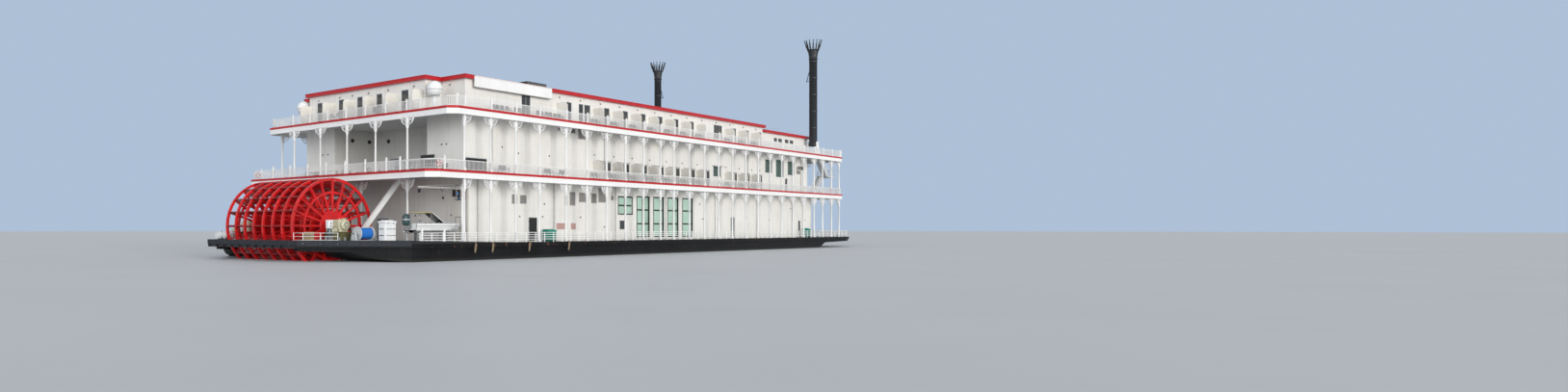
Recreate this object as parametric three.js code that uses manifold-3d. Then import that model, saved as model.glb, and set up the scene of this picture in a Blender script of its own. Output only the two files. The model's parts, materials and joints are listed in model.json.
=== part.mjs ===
import * as THREE from "three";
import { mergeVertices } from "three/addons/utils/BufferGeometryUtils.js";
import Module from "manifold-3d";

// A stern-wheel paddle steamer, built as a model at one tenth of its real size.
// Every size and place below is the real ship's, in metres: x runs from stern to bow, y to port and z up,
// with x = 0 at the aftmost side post and z = 0 at the water's surface. The group at the end scales it.

const MODEL_MM_PER_METRE = 100;
const GAP = 0.004; // left between two pieces that touch

// Heights
const KEEL = -2.0;
const MAIN = 1.67;
const SECOND = 8.69;
const THIRD = 14.87;
const ROOF = 18.5;
const BRIDGE_ROOF = 17.85;
const DECK_EDGE = 0.42; // thickness of the main deck
const SLAB = 0.25; // thickness of the upper decks
const FASCIA = 0.75; // depth of the white boards under their edges
const ROOF_EDGE = 0.35;
const RAIL = 1.0;

// Lengths and widths
const HALF_BEAM = 16.0;
const STERN = -13.4;
const STERN_CHAMFER = -6.9;
const ARM_TIP = 7.3;
const WELL_END = -3.2;
const WELL_HALF = 6.5;
const BOW_STRAIGHT = 88.6;
const BOW_REACH = 5.4;
const SECOND_STERN = -4.5;
const THIRD_STERN = -1.9;
const UPPER_BOW = 87.0;
const BOW_CORNER = 0.3;
const WALL = 0.25;
const HOUSE_HALF = 13.5;

// Posts along each side: how many bays, and how long each is
const BAYS = [
  { count: 3, length: 3.66 },
  { count: 1, length: 4.4 },
  { count: 5, length: 3.66 },
  { count: 1, length: 3.0 },
  { count: 11, length: 3.66 },
  { count: 1, length: 3.1 },
  { count: 1, length: 3.35 },
  { count: 1, length: 2.95 },
];
const POST = 0.26;
const POST_LINE = 15.63;
const POSTS = [0];
for (const bay of BAYS) {
  for (let i = 0; i < bay.count; i += 1) POSTS.push(POSTS[POSTS.length - 1] + bay.length);
}

// Paddle wheel
const WHEEL = { x: -8.27, z: 3.33, radius: 4.69, half: 5.8, spokes: 20, frames: 8, innerRing: 3.25 };
const SHAFT_RADIUS = 0.3;

const wasm = await Module();
wasm.setup();

// Solids: three.js geometries joined and cut
const toSolid = (geometry) => {
  const bare = geometry.index ? geometry.toNonIndexed() : geometry.clone();
  bare.deleteAttribute("normal");
  bare.deleteAttribute("uv");
  const merged = mergeVertices(bare, 1e-5);
  const vertProperties = new Float32Array(merged.attributes.position.array);
  const corners = [...merged.index.array];
  const triVerts = new Uint32Array(
    corners.filter((_, i) => {
      const [a, b, c] = corners.slice(i - (i % 3), i - (i % 3) + 3);
      return a !== b && b !== c && c !== a;
    }),
  );
  return new wasm.Manifold(new wasm.Mesh({ numProp: 3, vertProperties, triVerts }));
};

const toGeometry = (solid) => {
  const mesh = solid.getMesh();
  const geometry = new THREE.BufferGeometry();
  geometry.setAttribute("position", new THREE.BufferAttribute(new Float32Array(mesh.vertProperties), 3));
  geometry.setIndex(new THREE.BufferAttribute(new Uint32Array(mesh.triVerts), 1));
  return geometry;
};

const join = (...geometries) => {
  const solids = geometries.flat().map(toSolid);
  return toGeometry(solids.reduce((sum, solid) => sum.add(solid)));
};

const cut = (geometry, ...tools) => {
  const solids = tools.flat().map(toSolid);
  return toGeometry(solids.reduce((rest, solid) => rest.subtract(solid), toSolid(geometry)));
};

const common = (a, b) => toGeometry(toSolid(a).intersect(toSolid(b)));

// Basic shapes, each given by where it lies
const box = (x0, x1, y0, y1, z0, z1) => {
  const geometry = new THREE.BoxGeometry(x1 - x0, y1 - y0, z1 - z0);
  return geometry.translate((x0 + x1) / 2, (y0 + y1) / 2, (z0 + z1) / 2);
};

const shapeOf = (points, holes = []) => {
  const shape = new THREE.Shape(points.map(([a, b]) => new THREE.Vector2(a, b)));
  for (const hole of holes) shape.holes.push(new THREE.Path(hole.map(([a, b]) => new THREE.Vector2(a, b))));
  return shape;
};

// A plan outline in x and y, raised from z0 to z1
const plate = (points, z0, z1) => {
  const geometry = new THREE.ExtrudeGeometry(shapeOf(points), { depth: z1 - z0, bevelEnabled: false });
  return geometry.translate(0, 0, z0);
};

// A side view in x and z, from y0 to y1
const profile = (points, y0, y1, holes = []) => {
  const geometry = new THREE.ExtrudeGeometry(shapeOf(points, holes), { depth: y1 - y0, bevelEnabled: false });
  return geometry.rotateX(Math.PI / 2).translate(0, y1, 0);
};

// An end view in y and z, from x0 to x1
const section = (points, x0, x1, holes = []) => {
  const geometry = new THREE.ExtrudeGeometry(shapeOf(points, holes), { depth: x1 - x0, bevelEnabled: false });
  const turn = new THREE.Matrix4().makeBasis(
    new THREE.Vector3(0, 1, 0),
    new THREE.Vector3(0, 0, 1),
    new THREE.Vector3(1, 0, 0),
  );
  return geometry.applyMatrix4(turn).translate(x0, 0, 0);
};

// Round bars along each axis
const barX = (radius, x0, x1, y, z, sides = 16) =>
  new THREE.CylinderGeometry(radius, radius, x1 - x0, sides)
    .rotateZ(-Math.PI / 2)
    .translate((x0 + x1) / 2, y, z);
const barY = (radius, y0, y1, x, z, sides = 16) =>
  new THREE.CylinderGeometry(radius, radius, y1 - y0, sides).translate(x, (y0 + y1) / 2, z);
const barZ = (radius, z0, z1, x, y, sides = 16) =>
  new THREE.CylinderGeometry(radius, radius, z1 - z0, sides)
    .rotateX(Math.PI / 2)
    .translate(x, y, (z0 + z1) / 2);

// A solid of revolution about a vertical line through x and y, from points of radius and height
const turned = (points, x, y, sides = 16) => {
  const profilePoints = points.map(([radius, z]) => new THREE.Vector2(radius, z));
  return new THREE.LatheGeometry(profilePoints, sides).rotateX(Math.PI / 2).translate(x, y, 0);
};

const mirrored = (geometry) => {
  const flat = (geometry.index ? geometry.toNonIndexed() : geometry.clone()).scale(1, -1, 1);
  const position = flat.attributes.position;
  const a = new THREE.Vector3();
  const b = new THREE.Vector3();
  for (let i = 0; i < position.count; i += 3) {
    a.fromBufferAttribute(position, i + 1);
    b.fromBufferAttribute(position, i + 2);
    position.setXYZ(i + 1, b.x, b.y, b.z);
    position.setXYZ(i + 2, a.x, a.y, a.z);
  }
  return flat;
};

// The same outline, moved in by a distance, or out by a negative one; its points run anticlockwise
const inset = (points, distance) =>
  points.map((here, i) => {
    const before = points[(i + points.length - 1) % points.length];
    const after = points[(i + 1) % points.length];
    const e1 = new THREE.Vector2(here[0] - before[0], here[1] - before[1]).normalize();
    const e2 = new THREE.Vector2(after[0] - here[0], after[1] - here[1]).normalize();
    const n1 = new THREE.Vector2(-e1.y, e1.x);
    const n2 = new THREE.Vector2(-e2.y, e2.x);
    const corner = n1.clone().add(n2);
    const reach = distance / (corner.lengthSq() / 2);
    return [here[0] + corner.x * reach, here[1] + corner.y * reach];
  });

// A strip of even width along a line of points that is open at both ends
const ribbon = (points, width) => {
  const offset = (side) =>
    points.map((here, i) => {
      const before = points[Math.max(i - 1, 0)];
      const after = points[Math.min(i + 1, points.length - 1)];
      const along = new THREE.Vector2(after[0] - before[0], after[1] - before[1]).normalize();
      return [here[0] - (along.y * side * width) / 2, here[1] + (along.x * side * width) / 2];
    });
  return [...offset(-1), ...offset(1).reverse()];
};

// Outlines
const bowCurve = (half) => {
  const points = [];
  const steps = 14;
  for (let i = 0; i <= steps; i += 1) {
    const angle = -Math.PI / 2 + (Math.PI * i) / steps;
    const forward = Math.abs(Math.cos(angle)) ** (2 / 2.6);
    const across = Math.sign(angle) * Math.abs(Math.sin(angle)) ** (2 / 2.6);
    points.push([BOW_STRAIGHT + BOW_REACH * forward, half * across]);
  }
  return points;
};

const mainOutline = [
  [WELL_END, -WELL_HALF],
  [STERN, -WELL_HALF],
  [STERN, -ARM_TIP],
  [STERN_CHAMFER, -HALF_BEAM],
  ...bowCurve(HALF_BEAM),
  [STERN_CHAMFER, HALF_BEAM],
  [STERN, ARM_TIP],
  [STERN, WELL_HALF],
  [WELL_END, WELL_HALF],
];

const upperOutline = (stern, corner) => [
  [stern, -HALF_BEAM + corner],
  [stern + corner, -HALF_BEAM],
  [UPPER_BOW - BOW_CORNER, -HALF_BEAM],
  [UPPER_BOW, -HALF_BEAM + BOW_CORNER],
  [UPPER_BOW, HALF_BEAM - BOW_CORNER],
  [UPPER_BOW - BOW_CORNER, HALF_BEAM],
  [stern + corner, HALF_BEAM],
  [stern, HALF_BEAM - corner],
];

// Colours and finishes
const paint = (color, roughness, metalness) => new THREE.MeshStandardMaterial({ color, roughness, metalness });
const WHITE = paint(0xe9e8e4, 0.55, 0);
const BLACK = paint(0x17181b, 0.5, 0);
const RED = paint(0xc4161c, 0.4, 0);
const DECK_GREY = paint(0x8f9091, 0.8, 0);
const BLUE = paint(0x0f6fc2, 0.5, 0);
const STEEL = paint(0x6d7074, 0.4, 0.7);

const ship = new THREE.Group();
const add = (name, geometry, material) => {
  const mesh = new THREE.Mesh(geometry, material);
  mesh.name = name;
  ship.add(mesh);
};
const SIDES = [
  { name: "starboard", place: (geometry) => geometry },
  { name: "port", place: mirrored },
];
const addPair = (name, geometry, material) => {
  for (const side of SIDES) add(`${name}_${side.name}`, side.place(geometry), material);
};

// Hull: a flat-bottomed barge, raked at both ends, with an arm on each side of the paddle wheel
const hullTop = MAIN - DECK_EDGE - GAP;
const hullPlan = inset(mainOutline, 0.18);
const centreSide = [
  [4, KEEL],
  [71, KEEL],
  [78.5, 0],
  [80.6, 0.8],
  [95, 1.05],
  [95, hullTop],
  [-4, hullTop],
  [-4, 0.1],
];
const armSide = [
  [4, KEEL],
  [9, KEEL],
  [9, hullTop],
  [-14, hullTop],
  [-14, 1.0],
  [-10.2, 0.9],
  [-9, 0.35],
];
const RUDDER = { x: -1.6, y: 3.2, fore: -0.75, aft: -3.0, low: KEEL + 0.1, high: -1.15, head: -0.75 };
const hullBody = join(
  barZ(0.26, RUDDER.head, 0.3, RUDDER.x, -RUDDER.y, 12),
  barZ(0.26, RUDDER.head, 0.3, RUDDER.x, RUDDER.y, 12),
  profile(centreSide, -HALF_BEAM, HALF_BEAM),
  profile(armSide, -HALF_BEAM, -WELL_HALF),
  profile(armSide, WELL_HALF, HALF_BEAM),
);
add("hull", common(hullBody, plate(hullPlan, KEEL, hullTop)), BLACK);
add("main_deck", plate(mainOutline, MAIN - DECK_EDGE, MAIN), DECK_GREY);
add("stern_beam", box(STERN - 0.8, STERN - GAP, -ARM_TIP, ARM_TIP, MAIN - DECK_EDGE, MAIN + 0.32), BLACK);

// Rudders, hung under the stern ahead of the wheel
const rudder = join(
  box(RUDDER.aft, RUDDER.fore, -RUDDER.y - 0.09, -RUDDER.y + 0.09, RUDDER.low, RUDDER.high),
  barZ(0.12, RUDDER.low + 0.2, RUDDER.head - GAP, RUDDER.x, -RUDDER.y, 12),
);
addPair("rudder", rudder, STEEL);

// Paddle wheel: a row of spoked frames joined by the shaft and the full-width paddles
const wheelAngles = Array.from({ length: WHEEL.spokes }, (_, i) => (2 * Math.PI * i) / WHEEL.spokes);
const polygon = (radius) => wheelAngles.map((angle) => [radius * Math.cos(angle), radius * Math.sin(angle)]);
const FRAME = {
  thick: 0.15, spokeHalf: 0.11,
  hub: 1.0, rim: WHEEL.radius - 0.03, rimInside: WHEEL.radius - 0.27,
};

// The opening between two spokes from one radius to another, as a side view
const betweenSpokes = (inner, outer, angle) => {
  const next = angle + (2 * Math.PI) / WHEEL.spokes;
  const corner = (radius, along, side) => [
    radius * Math.cos(along) - side * FRAME.spokeHalf * Math.sin(along),
    radius * Math.sin(along) + side * FRAME.spokeHalf * Math.cos(along),
  ];
  return [corner(inner, angle, 1), corner(outer, angle, 1), corner(outer, next, -1), corner(inner, next, -1)];
};
const wheelFrame = (y, bands) =>
  cut(
    profile(polygon(FRAME.rim), y - FRAME.thick / 2, y + FRAME.thick / 2),
    bands.flatMap(({ inner, outer }) =>
      wheelAngles.map((angle) => profile(betweenSpokes(inner, outer, angle), y - 1, y + 1)),
    ),
  );
const wheelParts = [barY(SHAFT_RADIUS, -7.2, 7.2, 0, 0, 24)];
for (let i = 0; i < WHEEL.frames; i += 1) {
  const y = -WHEEL.half + (2 * WHEEL.half * i) / (WHEEL.frames - 1);
  const atEnd = i === 0 || i === WHEEL.frames - 1;
  const endBands = [
    { inner: FRAME.hub, outer: WHEEL.innerRing - 0.1 },
    { inner: WHEEL.innerRing + 0.1, outer: FRAME.rimInside },
  ];
  wheelParts.push(wheelFrame(y, atEnd ? endBands : [{ inner: FRAME.hub, outer: FRAME.rimInside }]));
}
for (const angle of wheelAngles) {
  const paddle = box(WHEEL.radius - 0.95, WHEEL.radius, -WHEEL.half - 0.1, WHEEL.half + 0.1, -0.05, 0.05);
  wheelParts.push(paddle.rotateY(-angle));
}
add("paddle_wheel", join(wheelParts).translate(WHEEL.x, 0, WHEEL.z), RED);

// What carries the wheel: a bearing stand on each arm, its drive, and a long brace up to the second deck
const standSide = [
  [WHEEL.x - 1.3, MAIN + GAP],
  [WHEEL.x + 0.95, MAIN + GAP],
  [WHEEL.x + 0.55, WHEEL.z + 0.6],
  [WHEEL.x - 0.55, WHEEL.z + 0.6],
];
const bearing = cut(
  profile(standSide, -7.25, -6.62),
  barY(SHAFT_RADIUS + 0.01, -7.4, -6.5, WHEEL.x, WHEEL.z, 24),
);
addPair("wheel_bearing", bearing, WHITE);
const drive = join(
  box(-10.7, -8.2, -9.1, -7.4, MAIN + GAP, MAIN + 1.1),
  box(-9.6, -8.5, -8.7, -7.26, MAIN + 0.9, WHEEL.z + 0.55),
  barY(0.5, -9.0, -8.4, -9.0, WHEEL.z + 0.1, 16),
);
addPair("wheel_drive", drive, STEEL);
const braceSide = [
  [-6.95, MAIN + GAP],
  [-6.35, MAIN + GAP],
  [-0.2, SECOND - SLAB - GAP],
  [-0.8, SECOND - SLAB - GAP],
];
addPair("wheel_brace", profile(braceSide, -7.17, -6.83), WHITE);

// Deck gear on the starboard arm: hose reel, raft crate; on the port arm: raft canisters
const REEL = { x: -8.5, y: -11.0, z: 2.62, radius: 0.78, half: 0.95 };
const reelStand = join(
  box(REEL.x - 1.2, REEL.x - 1.06, REEL.y - 0.5, REEL.y + 0.5, MAIN + GAP, REEL.z + 0.15),
  box(REEL.x + 1.06, REEL.x + 1.2, REEL.y - 0.5, REEL.y + 0.5, MAIN + GAP, REEL.z + 0.15),
  box(REEL.x - 1.2, REEL.x + 1.2, REEL.y - 0.5, REEL.y + 0.5, MAIN + GAP, MAIN + 0.1),
);
const reelHoles = barX(0.108, REEL.x - 1.3, REEL.x + 1.3, REEL.y, REEL.z, 16);
add("hose_reel_stand", cut(reelStand, reelHoles), WHITE);
const reelDrum = join(
  barX(REEL.radius, REEL.x - REEL.half, REEL.x - REEL.half + 0.1, REEL.y, REEL.z, 20),
  barX(REEL.radius, REEL.x + REEL.half - 0.1, REEL.x + REEL.half, REEL.y, REEL.z, 20),
  barX(0.62, REEL.x - REEL.half + 0.05, REEL.x + REEL.half - 0.05, REEL.y, REEL.z, 20),
  barX(0.1, REEL.x - 1.2, REEL.x + 1.2, REEL.y, REEL.z, 16),
);
add("hose_reel_drum", reelDrum, BLUE);
add("raft_crate", box(-7.6, -6.2, -13.0, -11.9, MAIN + GAP, MAIN + 2.2), WHITE);
add("deck_lockers", box(-12.6, -11.2, -8.3, -7.3, MAIN + GAP, MAIN + 1.1), WHITE);
const canisters = join(
  box(-12.2, -10.95, 7.35, 9.05, MAIN + GAP, MAIN + 0.35),
  barX(0.42, -12.2, -10.95, 7.75, MAIN + 0.72, 12),
  barX(0.42, -12.2, -10.95, 8.65, MAIN + 0.72, 12),
);
add("raft_canisters", canisters, WHITE);

// Tender on its cradle, and its outboard motor
const TENDER = { stern: -4.95, y: -13.5, floor: MAIN + 1.0 };
const tenderPlan = [
  [TENDER.stern, -0.95],
  [-1.0, -1.0],
  [0.7, -0.62],
  [1.45, 0],
  [0.7, 0.62],
  [-1.0, 1.0],
  [TENDER.stern, 0.95],
];
const tenderShape = tenderPlan.map(([x, y]) => [x, y + TENDER.y]);
const tenderShell = cut(
  plate(tenderShape, TENDER.floor, TENDER.floor + 0.95),
  plate(inset(tenderShape, 0.12), TENDER.floor + 0.2, TENDER.floor + 1.2),
);
const tender = join(
  tenderShell,
  box(-4.1, -3.8, TENDER.y - 0.6, TENDER.y + 0.6, MAIN + GAP, TENDER.floor + 0.1),
  box(-0.9, -0.6, TENDER.y - 0.6, TENDER.y + 0.6, MAIN + GAP, TENDER.floor + 0.1),
  box(-2.1, -1.95, TENDER.y - 0.5, TENDER.y + 0.5, TENDER.floor + 0.1, TENDER.floor + 1.35),
);
add("tender", tender, WHITE);
const outboard = join(
  box(-5.85, -5.15, TENDER.y - 0.34, TENDER.y + 0.34, TENDER.floor + 0.7, TENDER.floor + 1.8),
  box(-5.45, TENDER.stern - GAP, TENDER.y - 0.2, TENDER.y + 0.2, TENDER.floor + 0.1, TENDER.floor + 0.8),
);
add("outboard_motor", outboard, BLACK);

// Boat crane: a post at the corner of the house, and a boom that slews about it
const CRANE = { x: 1.7, y: -13.6, z: 7.0, reach: 5.8 };
const craneTop = CRANE.z + 0.55;
const cranePost = join(
  barZ(0.14, MAIN + GAP, CRANE.z - 0.26, CRANE.x, CRANE.y),
  barZ(0.1, CRANE.z - 0.4, craneTop, CRANE.x, CRANE.y),
);
add("crane_post", cranePost, WHITE);
const craneTip = CRANE.x - CRANE.reach;
const craneBoom = cut(
  join(
    barZ(0.24, CRANE.z - 0.25, CRANE.z + 0.25, CRANE.x, CRANE.y),
    box(craneTip, CRANE.x - 0.15, CRANE.y - 0.12, CRANE.y + 0.12, CRANE.z - 0.12, CRANE.z + 0.12),
    box(craneTip, craneTip + 0.25, CRANE.y - 0.1, CRANE.y + 0.1, CRANE.z - 0.5, CRANE.z),
  ),
  barZ(0.108, CRANE.z - 0.5, CRANE.z + 0.5, CRANE.x, CRANE.y),
);
add("crane_boom", craneBoom, WHITE);

// Houses: walls between the decks, with their large windows cut
const walls = (outline, z0, z1) => cut(plate(outline, z0, z1), plate(inset(outline, WALL), z0 - 1, z1 + 1));
const bothSides = (x0, x1, z0, z1) => [
  box(x0, x1, -HOUSE_HALF - 0.5, -HOUSE_HALF + 0.5, z0, z1),
  box(x0, x1, HOUSE_HALF - 0.5, HOUSE_HALF + 0.5, z0, z1),
];
const MAIN_HOUSE = { aft: 2.65, fore: 80.5 };
const mainHouse = [
  [MAIN_HOUSE.aft, -HOUSE_HALF],
  [MAIN_HOUSE.fore, -HOUSE_HALF],
  [MAIN_HOUSE.fore, HOUSE_HALF],
  [MAIN_HOUSE.aft, HOUSE_HALF],
];
const MAIN_WINDOWS = [
  { from: 27.8, to: 30.6, low: 4.75, high: 7.05 },
  { from: 31.5, to: 34.4, low: 1.95, high: 7.1 },
  { from: 35.2, to: 37.6, low: 1.95, high: 7.1 },
  { from: 38.4, to: 41.0, low: 1.95, high: 7.1 },
  { from: 41.9, to: 44.5, low: 1.95, high: 7.1 },
];
const DOOR = { hinge: 11.62, width: 1.3, low: MAIN + 0.12, high: 4.25, thick: 0.08, pin: 0.03 };
const doorLine = HOUSE_HALF + 0.065; // how far out the hinge pins stand
const hingeLug = (y, z0, z1) =>
  box(DOOR.hinge - 0.05, DOOR.hinge + 0.05, Math.min(y, y * 0.99), Math.max(y, y * 0.99), z0, z1);
const hingePins = [-doorLine, doorLine].flatMap((y) => [
  barZ(DOOR.pin, DOOR.low - 0.04, DOOR.high + 0.04, DOOR.hinge, y, 12),
  hingeLug(y, DOOR.low - 0.08, DOOR.low - 0.01),
  hingeLug(y, DOOR.high + 0.01, DOOR.high + 0.08),
]);
const mainWalls = cut(
  walls(mainHouse, MAIN + GAP, SECOND - SLAB - GAP),
  MAIN_WINDOWS.flatMap((w) => bothSides(w.from, w.to, w.low, w.high)),
  bothSides(DOOR.hinge + 0.12, DOOR.hinge + DOOR.width - 0.08, DOOR.low + 0.08, DOOR.high - 0.1),
);
add("main_house", join(mainWalls, hingePins), WHITE);
const doorLeaf = box(
  DOOR.hinge + DOOR.pin + GAP,
  DOOR.hinge + DOOR.width,
  -doorLine - DOOR.thick / 2,
  -doorLine + DOOR.thick / 2,
  DOOR.low,
  DOOR.high,
);
addPair("crew_door", doorLeaf, BLACK);

// Partitions between the cabins' balconies, standing out from the house walls on the upper two decks
const CABINS = { aft: 22.9, pitch: 3.75, bays: [0, 1, 2, 3, 4, 5, 6, 8, 9, 10] };
const PARTITION = { reach: 1.55, height: 2.2, thick: 0.08, corner: 0.3 };
const cabinPlaces = CABINS.bays.map((bay) => CABINS.aft + CABINS.pitch * bay);
const partitionSide = (wall, outward, low) => {
  const edge = wall + outward * PARTITION.reach;
  const root = wall - outward * 0.1;
  const top = low + PARTITION.height;
  return [
    [root, low],
    [edge, low],
    [edge, top - PARTITION.corner],
    [edge - outward * PARTITION.corner, top],
    [root, top],
  ];
};
const sidePartitions = (places, low) =>
  places.flatMap((x) => {
    const starboard = section(partitionSide(-HOUSE_HALF, -1, low).reverse(), x, x + PARTITION.thick);
    return [starboard, mirrored(starboard)];
  });

const UPPER_HOUSE = { aft: 2.0, recess: 8.0, recessHalf: 8.0, fore: 79.0 };
const upperHouse = [
  [UPPER_HOUSE.aft, -HOUSE_HALF],
  [UPPER_HOUSE.fore, -HOUSE_HALF],
  [UPPER_HOUSE.fore, HOUSE_HALF],
  [UPPER_HOUSE.aft, HOUSE_HALF],
  [UPPER_HOUSE.aft, UPPER_HOUSE.recessHalf],
  [UPPER_HOUSE.recess, UPPER_HOUSE.recessHalf],
  [UPPER_HOUSE.recess, -UPPER_HOUSE.recessHalf],
  [UPPER_HOUSE.aft, -UPPER_HOUSE.recessHalf],
];
const upperWalls = walls(upperHouse, SECOND + GAP, THIRD - SLAB - GAP);
add("upper_house", join(upperWalls, sidePartitions(cabinPlaces, SECOND + GAP)), WHITE);

const TOP_HOUSE = { aft: 2.2, centre: 0, centreHalf: 10.0, fore: 64.0 };
const topHouse = [
  [TOP_HOUSE.aft, -HOUSE_HALF],
  [TOP_HOUSE.fore, -HOUSE_HALF],
  [TOP_HOUSE.fore, HOUSE_HALF],
  [TOP_HOUSE.aft, HOUSE_HALF],
  [TOP_HOUSE.aft, TOP_HOUSE.centreHalf],
  [TOP_HOUSE.centre, TOP_HOUSE.centreHalf],
  [TOP_HOUSE.centre, -TOP_HOUSE.centreHalf],
  [TOP_HOUSE.aft, -TOP_HOUSE.centreHalf],
];
const TOP_CABIN_AFT = 16.3;
const STERN_PARTITIONS = [-9.8, -5.6, -2.0, 1.5, 5.2, 9.5];
const sternPartitions = STERN_PARTITIONS.map((y) =>
  profile(partitionSide(TOP_HOUSE.centre, -1, THIRD + GAP).reverse(), y, y + PARTITION.thick),
);
const topWalls = walls(topHouse, THIRD + GAP, ROOF - ROOF_EDGE - GAP);
const topPartitions = sidePartitions([TOP_CABIN_AFT, ...cabinPlaces], THIRD + GAP);
add("top_house", join(topWalls, topPartitions, sternPartitions), WHITE);
add("roof", plate(inset(topHouse, -0.35), ROOF - ROOF_EDGE, ROOF), RED);

const BRIDGE = { aft: TOP_HOUSE.fore + GAP, fore: 79.0 };
const bridgeHouse = [
  [BRIDGE.aft, -HOUSE_HALF],
  [BRIDGE.fore, -HOUSE_HALF],
  [BRIDGE.fore, HOUSE_HALF],
  [BRIDGE.aft, HOUSE_HALF],
];
const bridgeWindows = [-9.5, -6.3, -3.1, 0.1, 3.3, 6.5].map((y) =>
  box(BRIDGE.fore - 0.5, BRIDGE.fore + 0.5, y, y + 2.9, THIRD + 1.15, THIRD + 2.2),
);
add("bridge_house", cut(walls(bridgeHouse, THIRD + GAP, BRIDGE_ROOF - ROOF_EDGE - GAP), bridgeWindows), WHITE);
const bridgeRoof = box(
  BRIDGE.aft,
  BRIDGE.fore + 0.35,
  -HOUSE_HALF - 0.35,
  HOUSE_HALF + 0.35,
  BRIDGE_ROOF - ROOF_EDGE,
  BRIDGE_ROOF,
);
add("bridge_roof", bridgeRoof, RED);
addPair("sign_board", box(3.1, 15.0, -HOUSE_HALF - 0.48, -HOUSE_HALF - 0.35 - GAP, 17.3, 18.5), WHITE);

// Chimneys: each is hinged low down between two cheeks, so that it can fold forward under a bridge
const CHIMNEY = {
  x: 78.2, y: -14.9, radius: 0.58,
  foot: 16.2, pivot: 16.6, flare: 30.7, rim: 31.95, top: 33.2,
};
const chimneyStand = (y) =>
  cut(
    join(
      box(CHIMNEY.x - 0.6, CHIMNEY.x + 0.6, y - 0.8, y + 0.8, THIRD - 0.1, THIRD + 0.55),
      box(CHIMNEY.x - 0.35, CHIMNEY.x + 0.35, y - 0.8, y - 0.66, THIRD + 0.5, CHIMNEY.pivot + 0.3),
      box(CHIMNEY.x - 0.35, CHIMNEY.x + 0.35, y + 0.66, y + 0.8, THIRD + 0.5, CHIMNEY.pivot + 0.3),
    ),
    barY(0.108, y - 1, y + 1, CHIMNEY.x, CHIMNEY.pivot, 16),
  );
const spikeSide = [
  [0.6, CHIMNEY.rim - 0.3],
  [0.8, CHIMNEY.rim - 0.1],
  [1.05, CHIMNEY.rim + 0.55],
  [1.45, CHIMNEY.top],
  [1.25, CHIMNEY.top],
  [0.87, CHIMNEY.rim + 0.6],
];
const spikes = Array.from({ length: 12 }, (_, i) => profile(spikeSide, -0.09, 0.09).rotateZ((Math.PI * i) / 6));
const strutSide = [
  [CHIMNEY.radius - 0.08, 28.25],
  [CHIMNEY.radius + 0.42, 26.6],
  [CHIMNEY.radius + 0.56, 26.6],
  [CHIMNEY.radius - 0.04, 28.55],
];
const chimney = join(
  turned(
    [
      [0, CHIMNEY.foot],
      [CHIMNEY.radius, CHIMNEY.foot],
      [CHIMNEY.radius, CHIMNEY.flare],
      [0.66, CHIMNEY.flare + 0.6],
      [0.84, CHIMNEY.rim],
      [0, CHIMNEY.rim],
    ],
    0,
    0,
    16,
  ),
  barY(0.1, -0.8, 0.8, 0, CHIMNEY.pivot, 16),
  section(strutSide, -0.07, 0.07),
  spikes,
).translate(CHIMNEY.x, CHIMNEY.y, 0);
addPair("chimney", chimney, BLACK);

// Second and third decks: a slab with deep boards under its edge
const upperDeck = (outline, top) =>
  join(
    plate(outline, top - SLAB, top),
    cut(
      plate(outline, top - FASCIA, top - SLAB + 0.1),
      plate(inset(outline, 0.15), top - 2, top - SLAB + 0.05),
    ),
  );
add("second_deck", upperDeck(upperOutline(SECOND_STERN, 1.0), SECOND), WHITE);
const thirdDeck = join(
  upperDeck(upperOutline(THIRD_STERN, 0.8), THIRD),
  chimneyStand(CHIMNEY.y),
  chimneyStand(-CHIMNEY.y),
);
add("third_deck", thirdDeck, WHITE);

// Arcades: a row of posts with curved brackets, hung from one header beam
const HEADER = 0.32;
const BRACKET = { reach: 0.95, drop: 1.0, bulge: 0.8 };
const arcadeOutline = (places, low, high) => {
  const points = [
    [places[0] - POST / 2, low],
    [places[0] + POST / 2, low],
  ];
  for (let i = 0; i + 1 < places.length; i += 1) {
    const from = places[i] + POST / 2;
    const to = places[i + 1] - POST / 2;
    const beam = high - HEADER;
    const reach = Math.min(BRACKET.reach, (to - from) / 3);
    points.push([from, beam - BRACKET.drop]);
    points.push([from + BRACKET.bulge * reach, beam - BRACKET.drop / 2]);
    points.push([from + reach, beam]);
    points.push([to - reach, beam]);
    points.push([to - BRACKET.bulge * reach, beam - BRACKET.drop / 2]);
    points.push([to, beam - BRACKET.drop]);
    points.push([to, low]);
    points.push([to + POST, low]);
  }
  const last = places[places.length - 1] + POST / 2;
  points.push([last, high]);
  points.push([places[0] - POST / 2, high]);
  return points;
};

// A rail between two ends: a bar at the top and the bottom, with a stanchion at each place
const railBars = (from, to, low, places) => {
  const between = places.filter((place) => place > from + 0.5 && place < to - 0.5);
  const uprights = [from + 0.06, ...between, to - 0.06];
  return [
    { a0: from, a1: to, z0: low, z1: low + 0.14, thick: 0.06 },
    { a0: from, a1: to, z0: low + RAIL - 0.1, z1: low + RAIL, thick: 0.06 },
    ...uprights.map((place) => ({
      a0: place - 0.05,
      a1: place + 0.05,
      z0: low + 0.05,
      z1: low + RAIL - 0.05,
      thick: 0.05,
    })),
  ];
};
const RAIL_LINE = -POST_LINE - POST / 2 - 0.02;
const sideRail = (from, to, low) =>
  railBars(from, to, low, POSTS).map(({ a0, a1, z0, z1, thick }) =>
    box(a0, a1, RAIL_LINE - thick / 2, RAIL_LINE + thick / 2, z0, z1),
  );
const sideArcade = (low, high) =>
  profile(arcadeOutline(POSTS, low, high), -POST_LINE - POST / 2, -POST_LINE + POST / 2);
addPair("main_arcade", sideArcade(MAIN + GAP, SECOND - SLAB - GAP), WHITE);
const secondTop = SECOND + RAIL;
const secondSideRail = box(
  -POST, UPPER_BOW - 0.3,
  RAIL_LINE - 0.03, RAIL_LINE + 0.03,
  secondTop - 0.1, secondTop,
);
addPair("upper_arcade", join(sideArcade(SECOND + GAP, THIRD - SLAB - GAP), secondSideRail), WHITE);
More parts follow.
